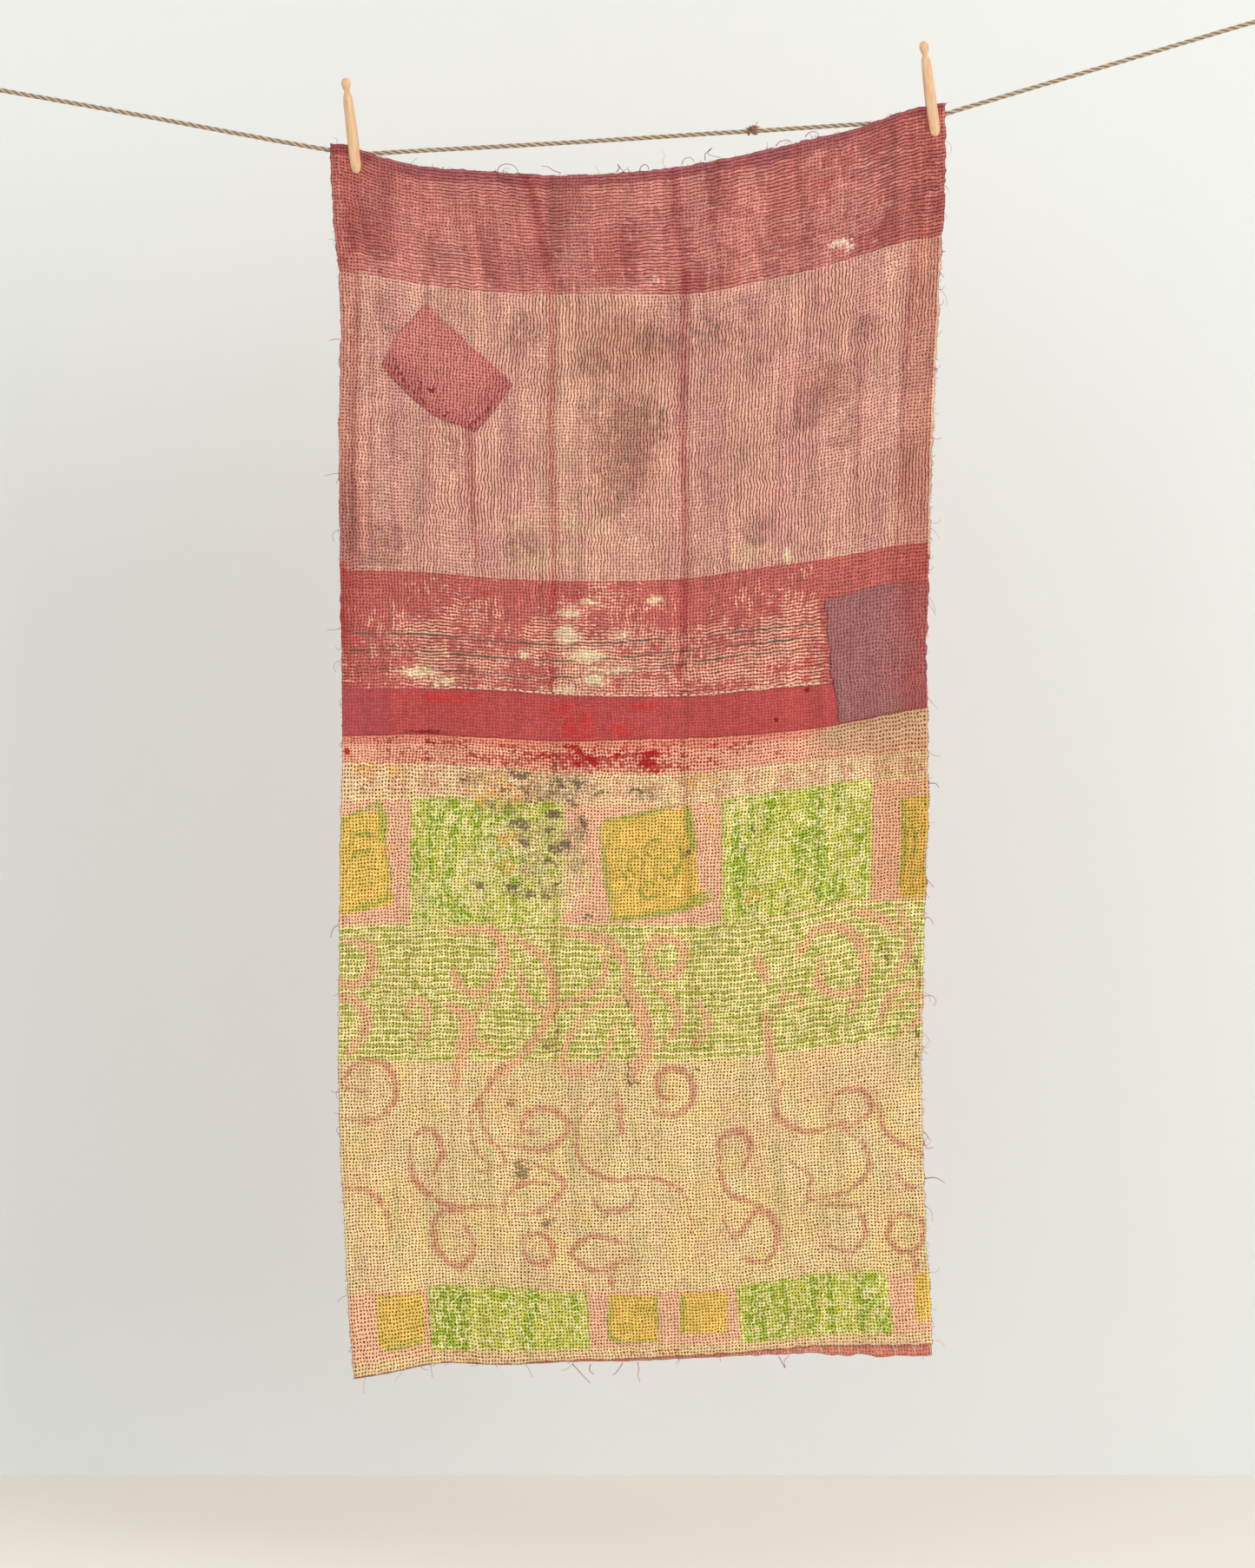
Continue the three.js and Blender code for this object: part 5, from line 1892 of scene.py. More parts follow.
@dataclass
class Backing:
    """The red-pink cloth behind both panels, which shows below the yellow hem."""

    front_gap: float = 1.75
    thickness: float = 0.75
    inset: float = 1.4

    SOILED = ((377, 1396, 14, 8), (120, 400, 40, 26), (520, 900, 50, 60))

    def build(self, cotton: QuiltedCotton) -> Piece:
        """Builds it on a grid of 8 mm cells, finer at its lower edge, over the same folds.

        Args:
            cotton: its finish.

        Returns:
            The piece.
        """
        top, bottom = level("top"), level("bottom")
        rows = np.concatenate([np.linspace(top, 1380, 172), np.linspace(1384, bottom, 8)])
        across, down = np.meshgrid(np.linspace(0, WIDTH, 93), rows)
        wavy = 1.6 * ripple(across, down * 0, (11, 1), 71) + 0.8 * ripple(across, down * 0, (5, 1), 72)
        down = down + smooth_step(1390, bottom, down) * wavy
        front = CLOTH.front_face(across, down, -self.front_gap)
        front[:, 0, 0] += self.inset
        front[:, -1, 0] -= self.inset
        bake = np.stack([across / WIDTH, (down - top) / (bottom + 4 - top)], -1)
        fields = {
            "rib": 0.3 * ripple(across, down, (60, 60), 73),
            "paled": 10 - 26 * ripple(across, down, (50, 140), 74),
            "soiled": spot_distance(across, down, self.SOILED),
            "flat": flat_places(across, down),
            "stitch": QUILTING.counted(across, down),
        }
        named = ("backing_cloth", "backing_cotton", "backing")
        return build_sheet(*named, cotton, front, self.thickness, bake, **fields)


# Pulled threads, each with its dye and its places to the right and up, root first.
PULLED = (
    ("#a8545a", ((645, -119), (638, -112), (636, -105), (640, -99.5), (647, -97.5), (655, -99.5),
        (659, -105), (661, -110))),
    ("#b8727a", ((709, -108), (700, -105), (694, -101), (687, -100))),
    ("#8e3c44", ((773, -108), (776, -103), (774, -99), (778, -104), (782, -108))),
    ("#a04a50", ((799, -108), (801, -102), (806, -99), (810, -103), (808, -108))),
    ("#e6cfa6", ((829, -102), (826, -95), (828, -88), (825, -80))),
    ("#c27c7e", ((848, -97), (851, -91.5), (858, -90), (863, -95))),
    ("#9a7466", ((875, -93), (875, -86), (883, -79), (878, -86), (893, -90))),
    ("#b4646a", ((956, -77), (961, -72), (970, -70.5), (975, -74))),
    ("#b4646a", ((990, -66), (995, -61), (1003, -61), (1006, -66))),
    ("#7a6660", ((1127, -1265), (1137, -1263.4), (1145, -1266), (1150, -1270))),
    ("#a8545a", ((1125, -1210), (1129, -1214), (1133, -1220))),
    ("#c27068", ((1126, -1222), (1130, -1230), (1137, -1228.5))),
    ("#c8786c", ((1129, -920), (1133, -924), (1138, -930))),
    ("#c8786c", ((1129, -964), (1134, -966), (1138, -973))),
    ("#cf8272", ((1126, -1055), (1136, -1055), (1140.5, -1060), (1138, -1067))),
    ("#6e5a56", ((1132, -810), (1140, -810.5), (1144, -815))),
    ("#8c6a64", ((452, -974), (448, -976), (445, -982), (444, -988))),
    ("#c07a78", ((454, -299), (449, -298.6), (442, -300.5))),
    ("#b0605c", ((722, -1478), (734, -1491), (743, -1500))),
    ("#a8545a", ((743, -1478), (742, -1485), (747, -1490))),
    ("#8c6a5c", ((780, -1477), (774, -1486), (769, -1491))),
    ("#d08070", ((797, -1476), (798.5, -1484), (797.5, -1491), (800, -1499))),
    ("#c8766c", ((960, -1471), (967, -1484), (966, -1476), (972, -1470))),
    ("#c07a78", ((1136, -215), (1143, -219), (1150, -228))),
    ("#c07a78", ((1134, -330), (1142, -334), (1138, -341), (1131, -338))),
    ("#c8868a", ((1133, -410), (1141, -414), (1147, -412))),
)


@dataclass
class Fray:
    """Loose threads: pulled ones that curl away from the edges, tufts on the top, short fuzz all round."""

    seed: int = 9
    pulled_steps: int = 16
    warm: str = "#b8656a"
    pale: str = "#d9a27e"
    dark: str = "#8a3c40"
    cream: str = "#ead2a4"

    def build(self, material: Finish) -> list[Piece]:
        """Builds a piece of pulled threads, one of stray ones and one of fuzz.

        Args:
            material: the thread's finish.

        Returns:
            The three pieces.
        """
        rng = np.random.default_rng(self.seed)
        strays = self._rooted(rng, (60, 40, 90, 40), (5.0, 20.0), 2.6)
        fuzz = self._rooted(rng, (900, 760, 900, 520), (1.2, 4.6), 1.1)
        return [
            self.pulled(material),
            self._grown("loose_threads", rng, strays, 0.34, 8, material),
            self._grown("edge_fuzz", rng, fuzz, 0.22, 4, material),
        ]

    def pulled(self, material: Finish) -> Piece:
        """The longest threads, each along its own smooth curve and thinning to its end.

        Args:
            material: the thread's finish.

        Returns:
            The piece.
        """
        paths = []
        for _, places in PULLED:
            spots = np.array(places, float)
            where = np.linspace(0.0, len(spots) - 1.0, self.pulled_steps)
            x, z = (curve_through(np.arange(len(spots)), spots[:, axis], where) for axis in (0, 1))
            across = np.clip(x - CLOTH.left, 5, WIDTH - 5)
            y = CLOTH.front + CLOTH.relief(across, np.clip(CLOTH.top - z, 0, 1400), False)
            paths.append(np.stack([x, y[0] - 0.6 - 1.2 * np.sin(where), z], -1))
        spine = np.array(paths)
        points, faces = tubes(spine, np.linspace(0.55, 0.3, self.pulled_steps), 4, facing(spine))
        dyes = np.array([dye_of(code) for code, _ in PULLED])
        return build_threads("pulled_threads", points, faces, dyes, material, "rose_cotton")

    def _rooted(self, rng: Random, counts: tuple[int, ...], lengths: Pair, curl: float) -> tuple[Array, ...]:
        """Threads spread at random along the edges.

        Args:
            rng: the random numbers.
            counts: how many on the top, left, right and bottom edges.
            lengths: the shortest and the longest; most are short.
            curl: how far their headings turn, as a spread in radians.

        Returns:
            Their roots, headings, lengths, curls and dyes.
        """
        top, bottom = level("top"), level("hem")
        warm, pale, dark, cream = (dye_of(code) for code in (self.warm, self.pale, self.dark, self.cream))
        roots, headings, dyes = [], [], []
        sides = (("top", 90.0), ("left", 180.0), ("right", 0.0), ("bottom", -90.0))
        for (side, heading), count in zip(sides, counts):
            spread = rng.random(count)
            if side in ("top", "bottom"):
                across = 2 + (WIDTH - 4) * spread
                down = np.full(count, top + 1.0 if side == "top" else bottom - 1.0)
            else:
                across = np.full(count, 1.0 if side == "left" else WIDTH - 1)
                down = top + (bottom - top) * spread
            roots.append(CLOTH.front_face(across, down, -0.7))
            headings.append(np.radians(heading + rng.normal(0, 38, count)))
            pick = rng.random(count)[:, None]
            dye = np.where(pick < np.where(down < 690, 0.75, 0.65)[:, None], warm, pale)
            dye = np.where(pick > 0.9, cream, dye)
            dyes.append(np.where(pick < 0.22, dark if side != "bottom" else warm, dye))
        count = sum(counts)
        length = lengths[0] + (lengths[1] - lengths[0]) * rng.random(count) ** 2.2
        roots, headings, dyes = (np.concatenate(part) for part in (roots, headings, dyes))
        return roots, headings, length, rng.normal(0, curl, count), dyes

    def _grown(
        self, name: str, rng: Random, rooted: tuple[Array, ...], radius: float, steps: int, material: Finish
    ) -> Piece:
        """Tubes whose heading turns steadily as they run, with a little droop and sway.

        Args:
            name: the piece's name.
            rng: the random numbers.
            rooted: the threads' roots, headings, lengths, curls and dyes.
            radius: their radius at the root; they thin to about half of it.
            steps: points along each.
            material: the thread's finish.

        Returns:
            The piece.
        """
        roots, headings, lengths, curls, dyes = rooted
        t = np.linspace(0.0, 1.0, steps)[None]
        angle = headings[:, None] + curls[:, None] * t
        step = lengths[:, None] / (steps - 1)
        x = np.cumsum(np.cos(angle) * step, axis=1) - np.cos(angle[:, :1]) * step
        z = np.cumsum(np.sin(angle) * step, axis=1) - np.sin(angle[:, :1]) * step
        z = z - 0.18 * lengths[:, None] * t * t
        y = (rng.normal(0, 0.12, (len(roots), 1)) - 0.05) * lengths[:, None] * t
        paths = roots[:, None] + np.stack([x, y, z], -1)
        points, faces = tubes(paths, radius * (1.0 - 0.45 * t), 3, facing(paths))
        dyes = dyes * rng.uniform(0.8, 1.15, (len(roots), 1))
        return build_threads(name, points, faces, dyes, material, "rose_cotton")


@dataclass
class SewnEdges:
    """Bold hand stitches: cream dashes that hold the strip, pale loops that hold the backing's corner."""

    seed: int = 17
    cream: str = "#f6d8bc"
    pale: str = "#eec2ac"
    dash_radius: float = 1.05
    dashed: Pair = (128.0, 566.0)  # from where to where, across
    loop_radius: float = 0.55

    # Where the loops' feet stand, across.
    FEET = (470, 488, 505, 522, 543, 562, 583, 606, 628, 650, 673, 692)

    def dashes(self, material: Finish) -> Piece:
        """Dashes of uneven length along the strip's top edge, each a short bowed tube.

        Args:
            material: the thread's finish.

        Returns:
            The piece.
        """
        rng = np.random.default_rng(self.seed)
        spans, at = [], self.dashed[0]
        while at < self.dashed[1]:
            length = rng.uniform(3.0, 8.5)
            spans.append((at, at + length))
            at += length + rng.uniform(1.2, 3.4)
        t = np.linspace(0.0, 1.0, 6)[None]
        start, end = np.array(spans).T[:, :, None]
        across = start * (1 - t) + end * t
        down = np.full_like(across, level("strip")) - 1.9 + 0.5 * ripple(across, across * 0, (6, 1), 81)
        bow = np.sin(math.pi * t)
        paths = CLOTH.front_face(across, down, 0.45 + 0.6 * bow * np.ones_like(across))
        points, faces = tubes(paths, self.dash_radius * (0.65 + 0.35 * bow), 6, facing(paths))
        dyes = dye_of(self.cream) * rng.uniform(0.85, 1.05, (len(spans), 1))
        return build_threads("strip_hand_stitches", points, faces, dyes, material, "red_cotton")

    def loops(self, material: Finish) -> Piece:
        """Arches of pale thread over the lower right edge: each foot on the backing, its top on the hem.

        Args:
            material: the thread's finish.

        Returns:
            The piece.
        """
        feet = np.array(self.FEET, float)
        bend = np.linspace(0.0, math.pi, 12)[None]
        across = feet[:-1, None] + np.diff(feet)[:, None] * (0.5 - 0.5 * np.cos(bend))
        hem, foot = level("hem"), level("bottom")
        down = foot - 1.5 - (foot - hem + 2.0) * np.sin(bend) ** 0.7 + 0 * across
        paths = CLOTH.front_face(across, down, np.where(down < hem + 0.5, 0.35, -1.3))
        points, faces = tubes(paths, self.loop_radius, 4, facing(paths))
        return build_threads("hem_loops", points, faces, [dye_of(self.pale)], material, "backing_cotton")


# --- the line ---

# The rope's route between its two end knots, in metres.
ROPE_ROUTE = (
    (0.0493, 0.0, -0.0083), (0.103, 0.0, -0.0179), (0.163, 0.0, -0.0286), (0.223, 0.0, -0.0396),
    (0.283, 0.0, -0.0508), (0.343, 0.0, -0.062), (0.393, 0.0, -0.0712), (0.433, 0.0, -0.0782),
    (0.455, 0.0, -0.0819), (0.471, 0.0, -0.084), (0.493, 0.0, -0.0836), (0.523, 0.0, -0.0818),
    (0.583, 0.0, -0.0786), (0.643, 0.0, -0.0754), (0.703, 0.0, -0.072), (0.763, 0.0, -0.0683),
    (0.823, 0.0, -0.0646), (0.883, 0.0, -0.0606), (0.943, 0.0, -0.0572), (1.003, 0.0, -0.0532),
    (1.063, 0.0, -0.0494), (1.103, 0.0, -0.0468), (1.131, 0.0, -0.044), (1.15, 0.0, -0.0389),
    (1.173, 0.0, -0.0316), (1.203, 0.0, -0.0228), (1.263, 0.0, -0.0049), (1.343, 0.0, 0.0188),
    (1.423, 0.0, 0.0427), (1.483, 0.0, 0.0606), (1.523, 0.0, 0.0721),
)


@dataclass
class JuteLine:
    """The taut line: three laid strands, an eye and a knot at each end, and a scrap of yarn tied on."""

    radius: float = 2.75
    strands: int = 3
    strand: float = 1.42
    lay: float = 31.0
    sides: int = 8
    step: float = 1.35
    eye_radius: float = 13.5
    eye_stretch: float = 1.3
    to_rope: float = 50.0
    wrap_radius: float = 4.6
    wraps: int = 4
    tail: float = 24.0
    tie_at: float = 929.0
    tie_turns: int = 4
    yarn: str = "#a58465"

    # The tie's frayed ends: which way along the rope each points, its dye and its fibres.
    ENDS = ((-0.9, "#94704f", 30), (0.9, "#c49a78", 24), (0.8, "#c9807c", 24), (0.1, "#a07a5c", 30))

    def laid(self, path: Array, side: Array, closed: bool = False) -> tuple[Array, ...]:
        """Strands laid round a path: each winds round it once for every `lay`.

        Args:
            path: K x 3 points.
            side: K x 3 directions across the path, the same way all along.
            closed: whether the path runs round to its start; the lay is then evened out to fit.

        Returns:
            Points, triangles, the `lay` places and the `groove_shade` depths.
        """
        onward = np.roll(path, -1, 0)
        along = unit(onward - np.roll(path, 1, 0) if closed else np.gradient(path, axis=0))
        gaps = np.linalg.norm(onward - path if closed else np.diff(path, axis=0), axis=1)
        travelled = np.concatenate([[0], np.cumsum(gaps)])[: len(path)]
        lay = gaps.sum() / round(gaps.sum() / self.lay) if closed else self.lay
        first, second = square_to(along, side)
        which = np.arange(self.strands)[:, None]
        turn = 2 * math.pi * (travelled[None] / lay + which / self.strands)
        radial = first[None] * np.cos(turn)[..., None] + second[None] * np.sin(turn)[..., None]
        paths = path[None] + radial * (self.radius - self.strand)
        points, faces = tubes(paths, self.strand, self.sides, radial, closed)
        angle = 2 * math.pi * np.arange(self.sides) / self.sides
        cells = (self.strands, len(path), self.sides)
        places = (travelled[None, :, None], angle * self.strand, 10.0 * which[..., None])
        lays = np.stack([np.broadcast_to(place, cells) for place in places], -1)
        lays = lays.reshape(self.strands, -1, 3)
        grooves = np.broadcast_to(smooth_step(0.95, 0.1, np.cos(angle)), cells).reshape(self.strands, -1)
        if not closed:
            lays = np.concatenate([lays, lays[:, :1], lays[:, -1:]], 1)
            grooves = np.concatenate([grooves, np.zeros((self.strands, 2))], 1)
        return points, faces, lays.reshape(-1, 3), grooves.reshape(-1)

    def hairs(self, path: Array, count: int = 420, seed: int = 91) -> tuple[Array, ...]:
        """Stray fibres: short thin tubes that leave the rope's surface at a low angle.

        Args:
            path: K x 3 points of the rope's centre line.
            count: how many.
            seed: which random numbers.

        Returns:
            Points, triangles, the `lay` places and the `groove_shade` depths, as from `laid`.
        """
        rng = np.random.default_rng(seed)
        at = rng.integers(1, len(path) - 2, count)
        along = unit(path[at + 1] - path[at])
        turn = rng.uniform(0, 2 * math.pi, count)[:, None]
        back = facing(along, 1.0)
        radial = unit(back * np.cos(turn) + np.cross(along, back) * np.sin(turn))
        length = rng.uniform(1.5, 6.0, (count, 1, 1))
        t = np.linspace(0, 1, 4)[None, :, None]
        lean = rng.choice([-1.0, 1.0], (count, 1, 1))
        start = path[at][:, None] + radial[:, None] * (self.radius * 0.85)
        paths = start + length * t * (0.75 * lean * along[:, None] + radial[:, None] * (0.25 + 0.35 * t))
        points, faces = tubes(paths, 0.09, 3, np.cross(along, radial)[:, None] * np.ones((1, 4, 1)))
        return points, faces, np.repeat(points[:, :1], 3, 1), np.zeros(len(points))

    def piece(self, name: str, parts: list[tuple[Array, ...]], material: Finish, *nodes: str) -> Piece:
        """One piece of several laid parts, which replaces the CAD nodes."""
        points, faces, lays, grooves = gathered(parts)
        return build_piece(name, points, faces, material, "jute", nodes, {"groove_shade": grooves, "lay": lays})

    def centre_line(self) -> Array:
        """The rope's centre line in mm: a smooth curve through the route.

        Returns:
            K x 3 points.
        """
        route = np.array(ROPE_ROUTE) / MM
        x = np.linspace(route[0, 0], route[-1, 0], int((route[-1, 0] - route[0, 0]) / self.step))
        return np.stack([x, np.zeros_like(x), curve_through(route[:, 0], route[:, 2], x)], -1)

    def rope(self, path: Array, material: Finish) -> Piece:
        """The rope between its knots."""
        return self.piece("jute_rope", [self.laid(path, facing(path, 1.0))], material, "rope")

    def end(self, name: str, eye: Array, rope_end: Array, material: Finish) -> Piece:
        """An eye, its wrapped knot and the knot's hanging tail.

        Args:
            name: `left` or `right`.
            eye: the eye's centre.
            rope_end: where the rope starts.
            material: the jute.

        Returns:
            The piece.
        """
        forward, back = unit(rope_end - eye), np.array([0.0, 1.0, 0.0])
        upward = unit(np.cross(forward, back))
        upward = upward * np.sign(upward[2])

        def placed(along: Array, behind: Array, up: Array) -> Array:
            """Places along the rope, behind it and up as points."""
            return eye + along[:, None] * forward + behind[:, None] * back + up[:, None] * upward

        a = np.linspace(0, 2 * math.pi, 84, endpoint=False)
        loop = placed(self.eye_radius * self.eye_stretch * np.cos(a), 0 * a, self.eye_radius * np.sin(a))
        start = (self.eye_radius + self.radius) * self.eye_stretch + 0.3
        finish = self.to_rope - 0.3
        x = np.linspace(start - 3.4, finish + 1.0, 26)
        core = placed(x, 0 * x, 0 * x)
        t = np.linspace(0, 1, 92)
        turn = 2 * math.pi * self.wraps * t + 0.6
        x = start + self.radius + (finish - start - 2 * self.radius) * t
        reach = self.wrap_radius * (0.55 + 0.45 * smooth_step(0.0, 0.08, t) * smooth_step(1.0, 0.92, t))
        wound = placed(x, reach * np.cos(turn), reach * np.sin(turn))
        wound_side = placed(0 * t, np.cos(turn), np.sin(turn)) - eye
        z = -np.linspace(self.wrap_radius - 1, self.wrap_radius + self.tail - 6, 18)
        tail = placed(start + 11 + 0 * z, 0 * z, z)
        parts = [
            self.laid(loop, facing(loop, 1.0), closed=True),
            self.laid(core, facing(core, 1.0)),
            self.laid(wound, wound_side),
            self.laid(tail, facing(tail, 1.0)),
            self._brush(tail[-1], -upward, 92 + len(name)),
        ]
        return self.piece(f"{name}_eye_and_knot", parts, material, f"{name}_loop", f"{name}_knot")

    def _brush(self, root: Array, heading: Array, seed: int, count: int = 60) -> tuple[Array, ...]:
        """The tail's frayed end: fibres that spread as they leave it.

        Args:
            root: where it starts.
            heading: which way it runs.
            seed: which random numbers.
            count: how many.

        Returns:
            Points, triangles, the `lay` places and the `groove_shade` depths, as from `laid`.
        """
        rng = np.random.default_rng(seed)
        spread = rng.normal(0, 0.9, (count, 1, 3))
        t = np.linspace(0, 1, 5)[None, :, None]
        length = rng.uniform(3.5, 7.0, (count, 1, 1))
        paths = root + spread + heading * length * t + spread * 1.3 * t * t - heading * 1.5
        points, faces = tubes(paths, 0.16, 3, facing(paths, 1.0))
        return points, faces, points * np.array([0.2, 1, 1]), np.full(len(points), 0.15)

    def tie(self, path: Array, material: Finish) -> Piece:
        """The scrap of yarn: crossed turns round the rope, a small knot and frayed ends.

        Args:
            path: K x 3 points of the rope's centre line.
            material: the yarn's finish.

        Returns:
            The piece.
        """
        k = int(np.searchsorted(path[:, 0], self.tie_at))
        centre, along, back = path[k], unit(path[k + 1] - path[k]), np.array([0.0, 1.0, 0.0])
        upward = np.cross(along, back)
        rng = np.random.default_rng(94)
        t = np.linspace(0, 1, 110)[:, None]
        turn = 2 * math.pi * self.tie_turns * t
        reach = 3.6 + 0.6 * np.sin(5.3 * turn / self.tie_turns)
        wind = centre + 5.2 * np.sin(3 * math.pi * t) * along
        wind = wind + reach * np.cos(turn) * back + reach * np.sin(turn) * upward
        points, faces = tubes(wind[None], 0.95, 6, (wind - centre)[None])
        parts = [(points, faces, np.tile(dye_of(self.yarn), (len(points), 1)))]
        front = centre - 4.6 * back + 0.8 * upward
        for sign, tint, count in self.ENDS:
            s = np.linspace(0, 1, 6)[None, :, None]
            fan = rng.normal(0, 0.5, (count, 1, 3))
            length = rng.uniform(2.5, 6.0, (count, 1, 1))
            heading = sign * along + (0.3 * abs(sign) + 0.1) * upward
            paths = front + length * s * (heading + fan * s) + rng.normal(0, 0.8, (count, 1, 3))
            points, faces = tubes(paths, 0.55, 3, facing(paths, 1.0))
            parts.append((points, faces, np.tile(dye_of(tint), (len(points), 1))))
        return build_threads("yarn_tie", *gathered(parts), material, "tie_yarn", nodes=("rope_tie",))


# --- the pegs ---


@dataclass
class Peg:
    """A turned one-piece peg: a knob, a neck, a shoulder and two legs that spread over cloth and rope."""

    name: str
    x: float
    z: float
    lean: float
    slot_length: float = 71.0
    slot_width: float = 4.4
    splay: float = 0.053
    cloth_gap: float = 0.35
    half_turn: int = 14  # faces in half a ring

    # The turned outline: how far below the head's top, and the radius there.
    BELOW = (0, 0.6, 2.5, 6, 9.5, 13, 15.5, 17, 20, 25, 37, 52, 70, 95, 104, 108.5, 110.6, 111.2)
    RADIUS = (0, 2.2, 4.3, 5.5, 5.2, 4.1, 3.3, 3.5, 4.6, 5.5, 6, 6.5, 6.7, 6.7, 6.2, 4.7, 2.4, 0)

    def outline(self, below: Array) -> Array:
        """The turned radius at a distance below the head's top."""
        return np.maximum(curve_through(self.BELOW, self.RADIUS, below), 0.02)

    def build(self, material: Finish) -> Piece:
        """Builds the peg as rings: full circles down to the slot, then half rings with flat inner faces.

        A half ring is the arc outside the slot and the chord along the slot's face. At the slot's round
        top the chords of the two legs meet, and there they share their points. The legs then spread.

        Args:
            material: the wood.

        Returns:
            The piece.
        """
        head = self.BELOW[-1] - self.slot_length
        a = np.linspace(0, math.pi, self.half_turn + 1)
        parts = [self._body(head, a), self._leg(head, a, 1.0), self._leg(head, a, -1.0)]
        points, faces = gathered(parts)
        _, first, inverse = np.unique(np.round(points, 4), axis=0, return_index=True, return_inverse=True)
        turning, faces = points[first], inverse.ravel()[faces]
        points = turning.copy()
        points[:, 1] += np.sign(points[:, 1]) * self.splay * np.maximum(0.0, -points[:, 2])
        fields = {
            "head": smooth_step(head - 5.5, head - 0.5, turning[:, 2]) * 0.7,
            "turning": turning + np.array([self.x, 0.0, 0.0]),
        }
        name, faces = self.name + "_turned", as_triangles(faces)
        return build_piece(name, self._placed(points), faces, material, "beech", (self.name,), fields)

    def _body(self, head: float, a: Array) -> tuple[Array, Array]:
        """The full circles from the head's top down to the slot, `head` below it.

        Args:
            head: the head's height above the slot.
            a: angles over half a turn.

        Returns:
            Its points and faces.
        """
        below = np.concatenate([[0.02, 0.2, 0.6, 1.2, 2.0, 3.0], np.linspace(4.2, head, 40)])[:, None]
        ring = np.concatenate([a, a[1:-1] + math.pi])
        r = self.outline(below)
        x, y = r * np.cos(ring), r * np.sin(ring)
        rings = np.stack([x, y, np.broadcast_to(head - below, x.shape)], -1)
        return self._rings(rings, cap_first=True)

    def _leg(self, head: float, a: Array, side: float) -> tuple[Array, Array]:
        """One leg's half rings, at the back where `side` is 1 and at the front where it is -1.

        Args:
            head: the head's height above the slot.
            a: angles over half a turn.
            side: 1 or -1.

        Returns:
            Its points and faces.
        """
        half_slot, end = self.slot_width / 2, self.BELOW[-1] - 0.55
        round_top = half_slot * (1 - np.cos(np.linspace(0, math.pi / 2, 8)))
        round_tip = end - np.array([4.5, 3.2, 2.2, 1.4, 0.8, 0.3, 0.0])
        below = np.concatenate([head + round_top, np.linspace(head + 4.5, end - 6, 44), round_tip])[:, None]
        r = self.outline(below)
        deep = np.minimum(below - head, half_slot)
        slot = np.sqrt(np.maximum(half_slot**2 - (half_slot - deep) ** 2, 0.0))
        slot = np.minimum(slot, r * 0.985)
        start = np.arcsin(slot / r)
        arc = start + (math.pi - 2 * start) * a / math.pi
        chord = np.linspace(-1, 1, len(a))[1:-1] * r * np.cos(start)
        x = np.concatenate([r * np.cos(arc), chord], 1)
        y = np.concatenate([r * np.sin(arc), np.broadcast_to(slot, chord.shape)], 1)
        rings = np.stack([x, side * y, np.broadcast_to(head - below, x.shape)], -1)
        points, faces = self._rings(rings, cap_last=True)
        return points, faces if side > 0 else faces[:, ::-1]

    def _rings(self, rings: Array, cap_first: bool = False, cap_last: bool = False) -> tuple[Array, Array]:
        """A closed run of rings, top first, as points and faces, with a fan where an end is capped.

        Args:
            rings: steps x sides x 3 points.
            cap_first: whether the top is capped.
            cap_last: whether the bottom is capped.

        Returns:
            Its points and faces.
        """
        steps, sides = rings.shape[:2]
        number = np.arange(steps * sides).reshape(steps, sides)
        here, there = number[:-1], number[1:]
        faces = [np.stack([here, there, np.roll(there, -1, 1), np.roll(here, -1, 1)], -1).reshape(-1, 4)]
        points, tip = [rings.reshape(-1, 3)], np.full(sides, steps * sides)
        if cap_first:
            points.append(rings[0].mean(0, keepdims=True))
            faces.append(np.stack([tip, number[0], np.roll(number[0], -1), np.roll(number[0], -1)], -1))
        if cap_last:
            points.append(rings[-1].mean(0, keepdims=True))
            faces.append(np.stack([tip, np.roll(number[-1], -1), number[-1], number[-1]], -1))
        return np.concatenate(points), np.concatenate(faces)

    def _placed(self, points: Array) -> Array:
        """Leans the peg in until its front leg lies along the cloth, then to the left, and moves it.

        Args:
            points: N x 3 points in the peg's own upright frame.

        Returns:
            The points in the object's frame.
        """
        tip, lean = math.asin(self.splay), -math.radians(self.lean)
        c, s = math.cos(tip), math.sin(tip)
        about_x = np.array([[1, 0, 0], [0, c, -s], [0, s, c]])
        c, s = math.cos(lean), math.sin(lean)
        about_y = np.array([[c, 0, s], [0, 1, 0], [-s, 0, c]])
        y = CLOTH.front - self.cloth_gap + self.slot_width / 2
        return points @ (about_y @ about_x).T + np.array([self.x, y, self.z])


# --- studio ---


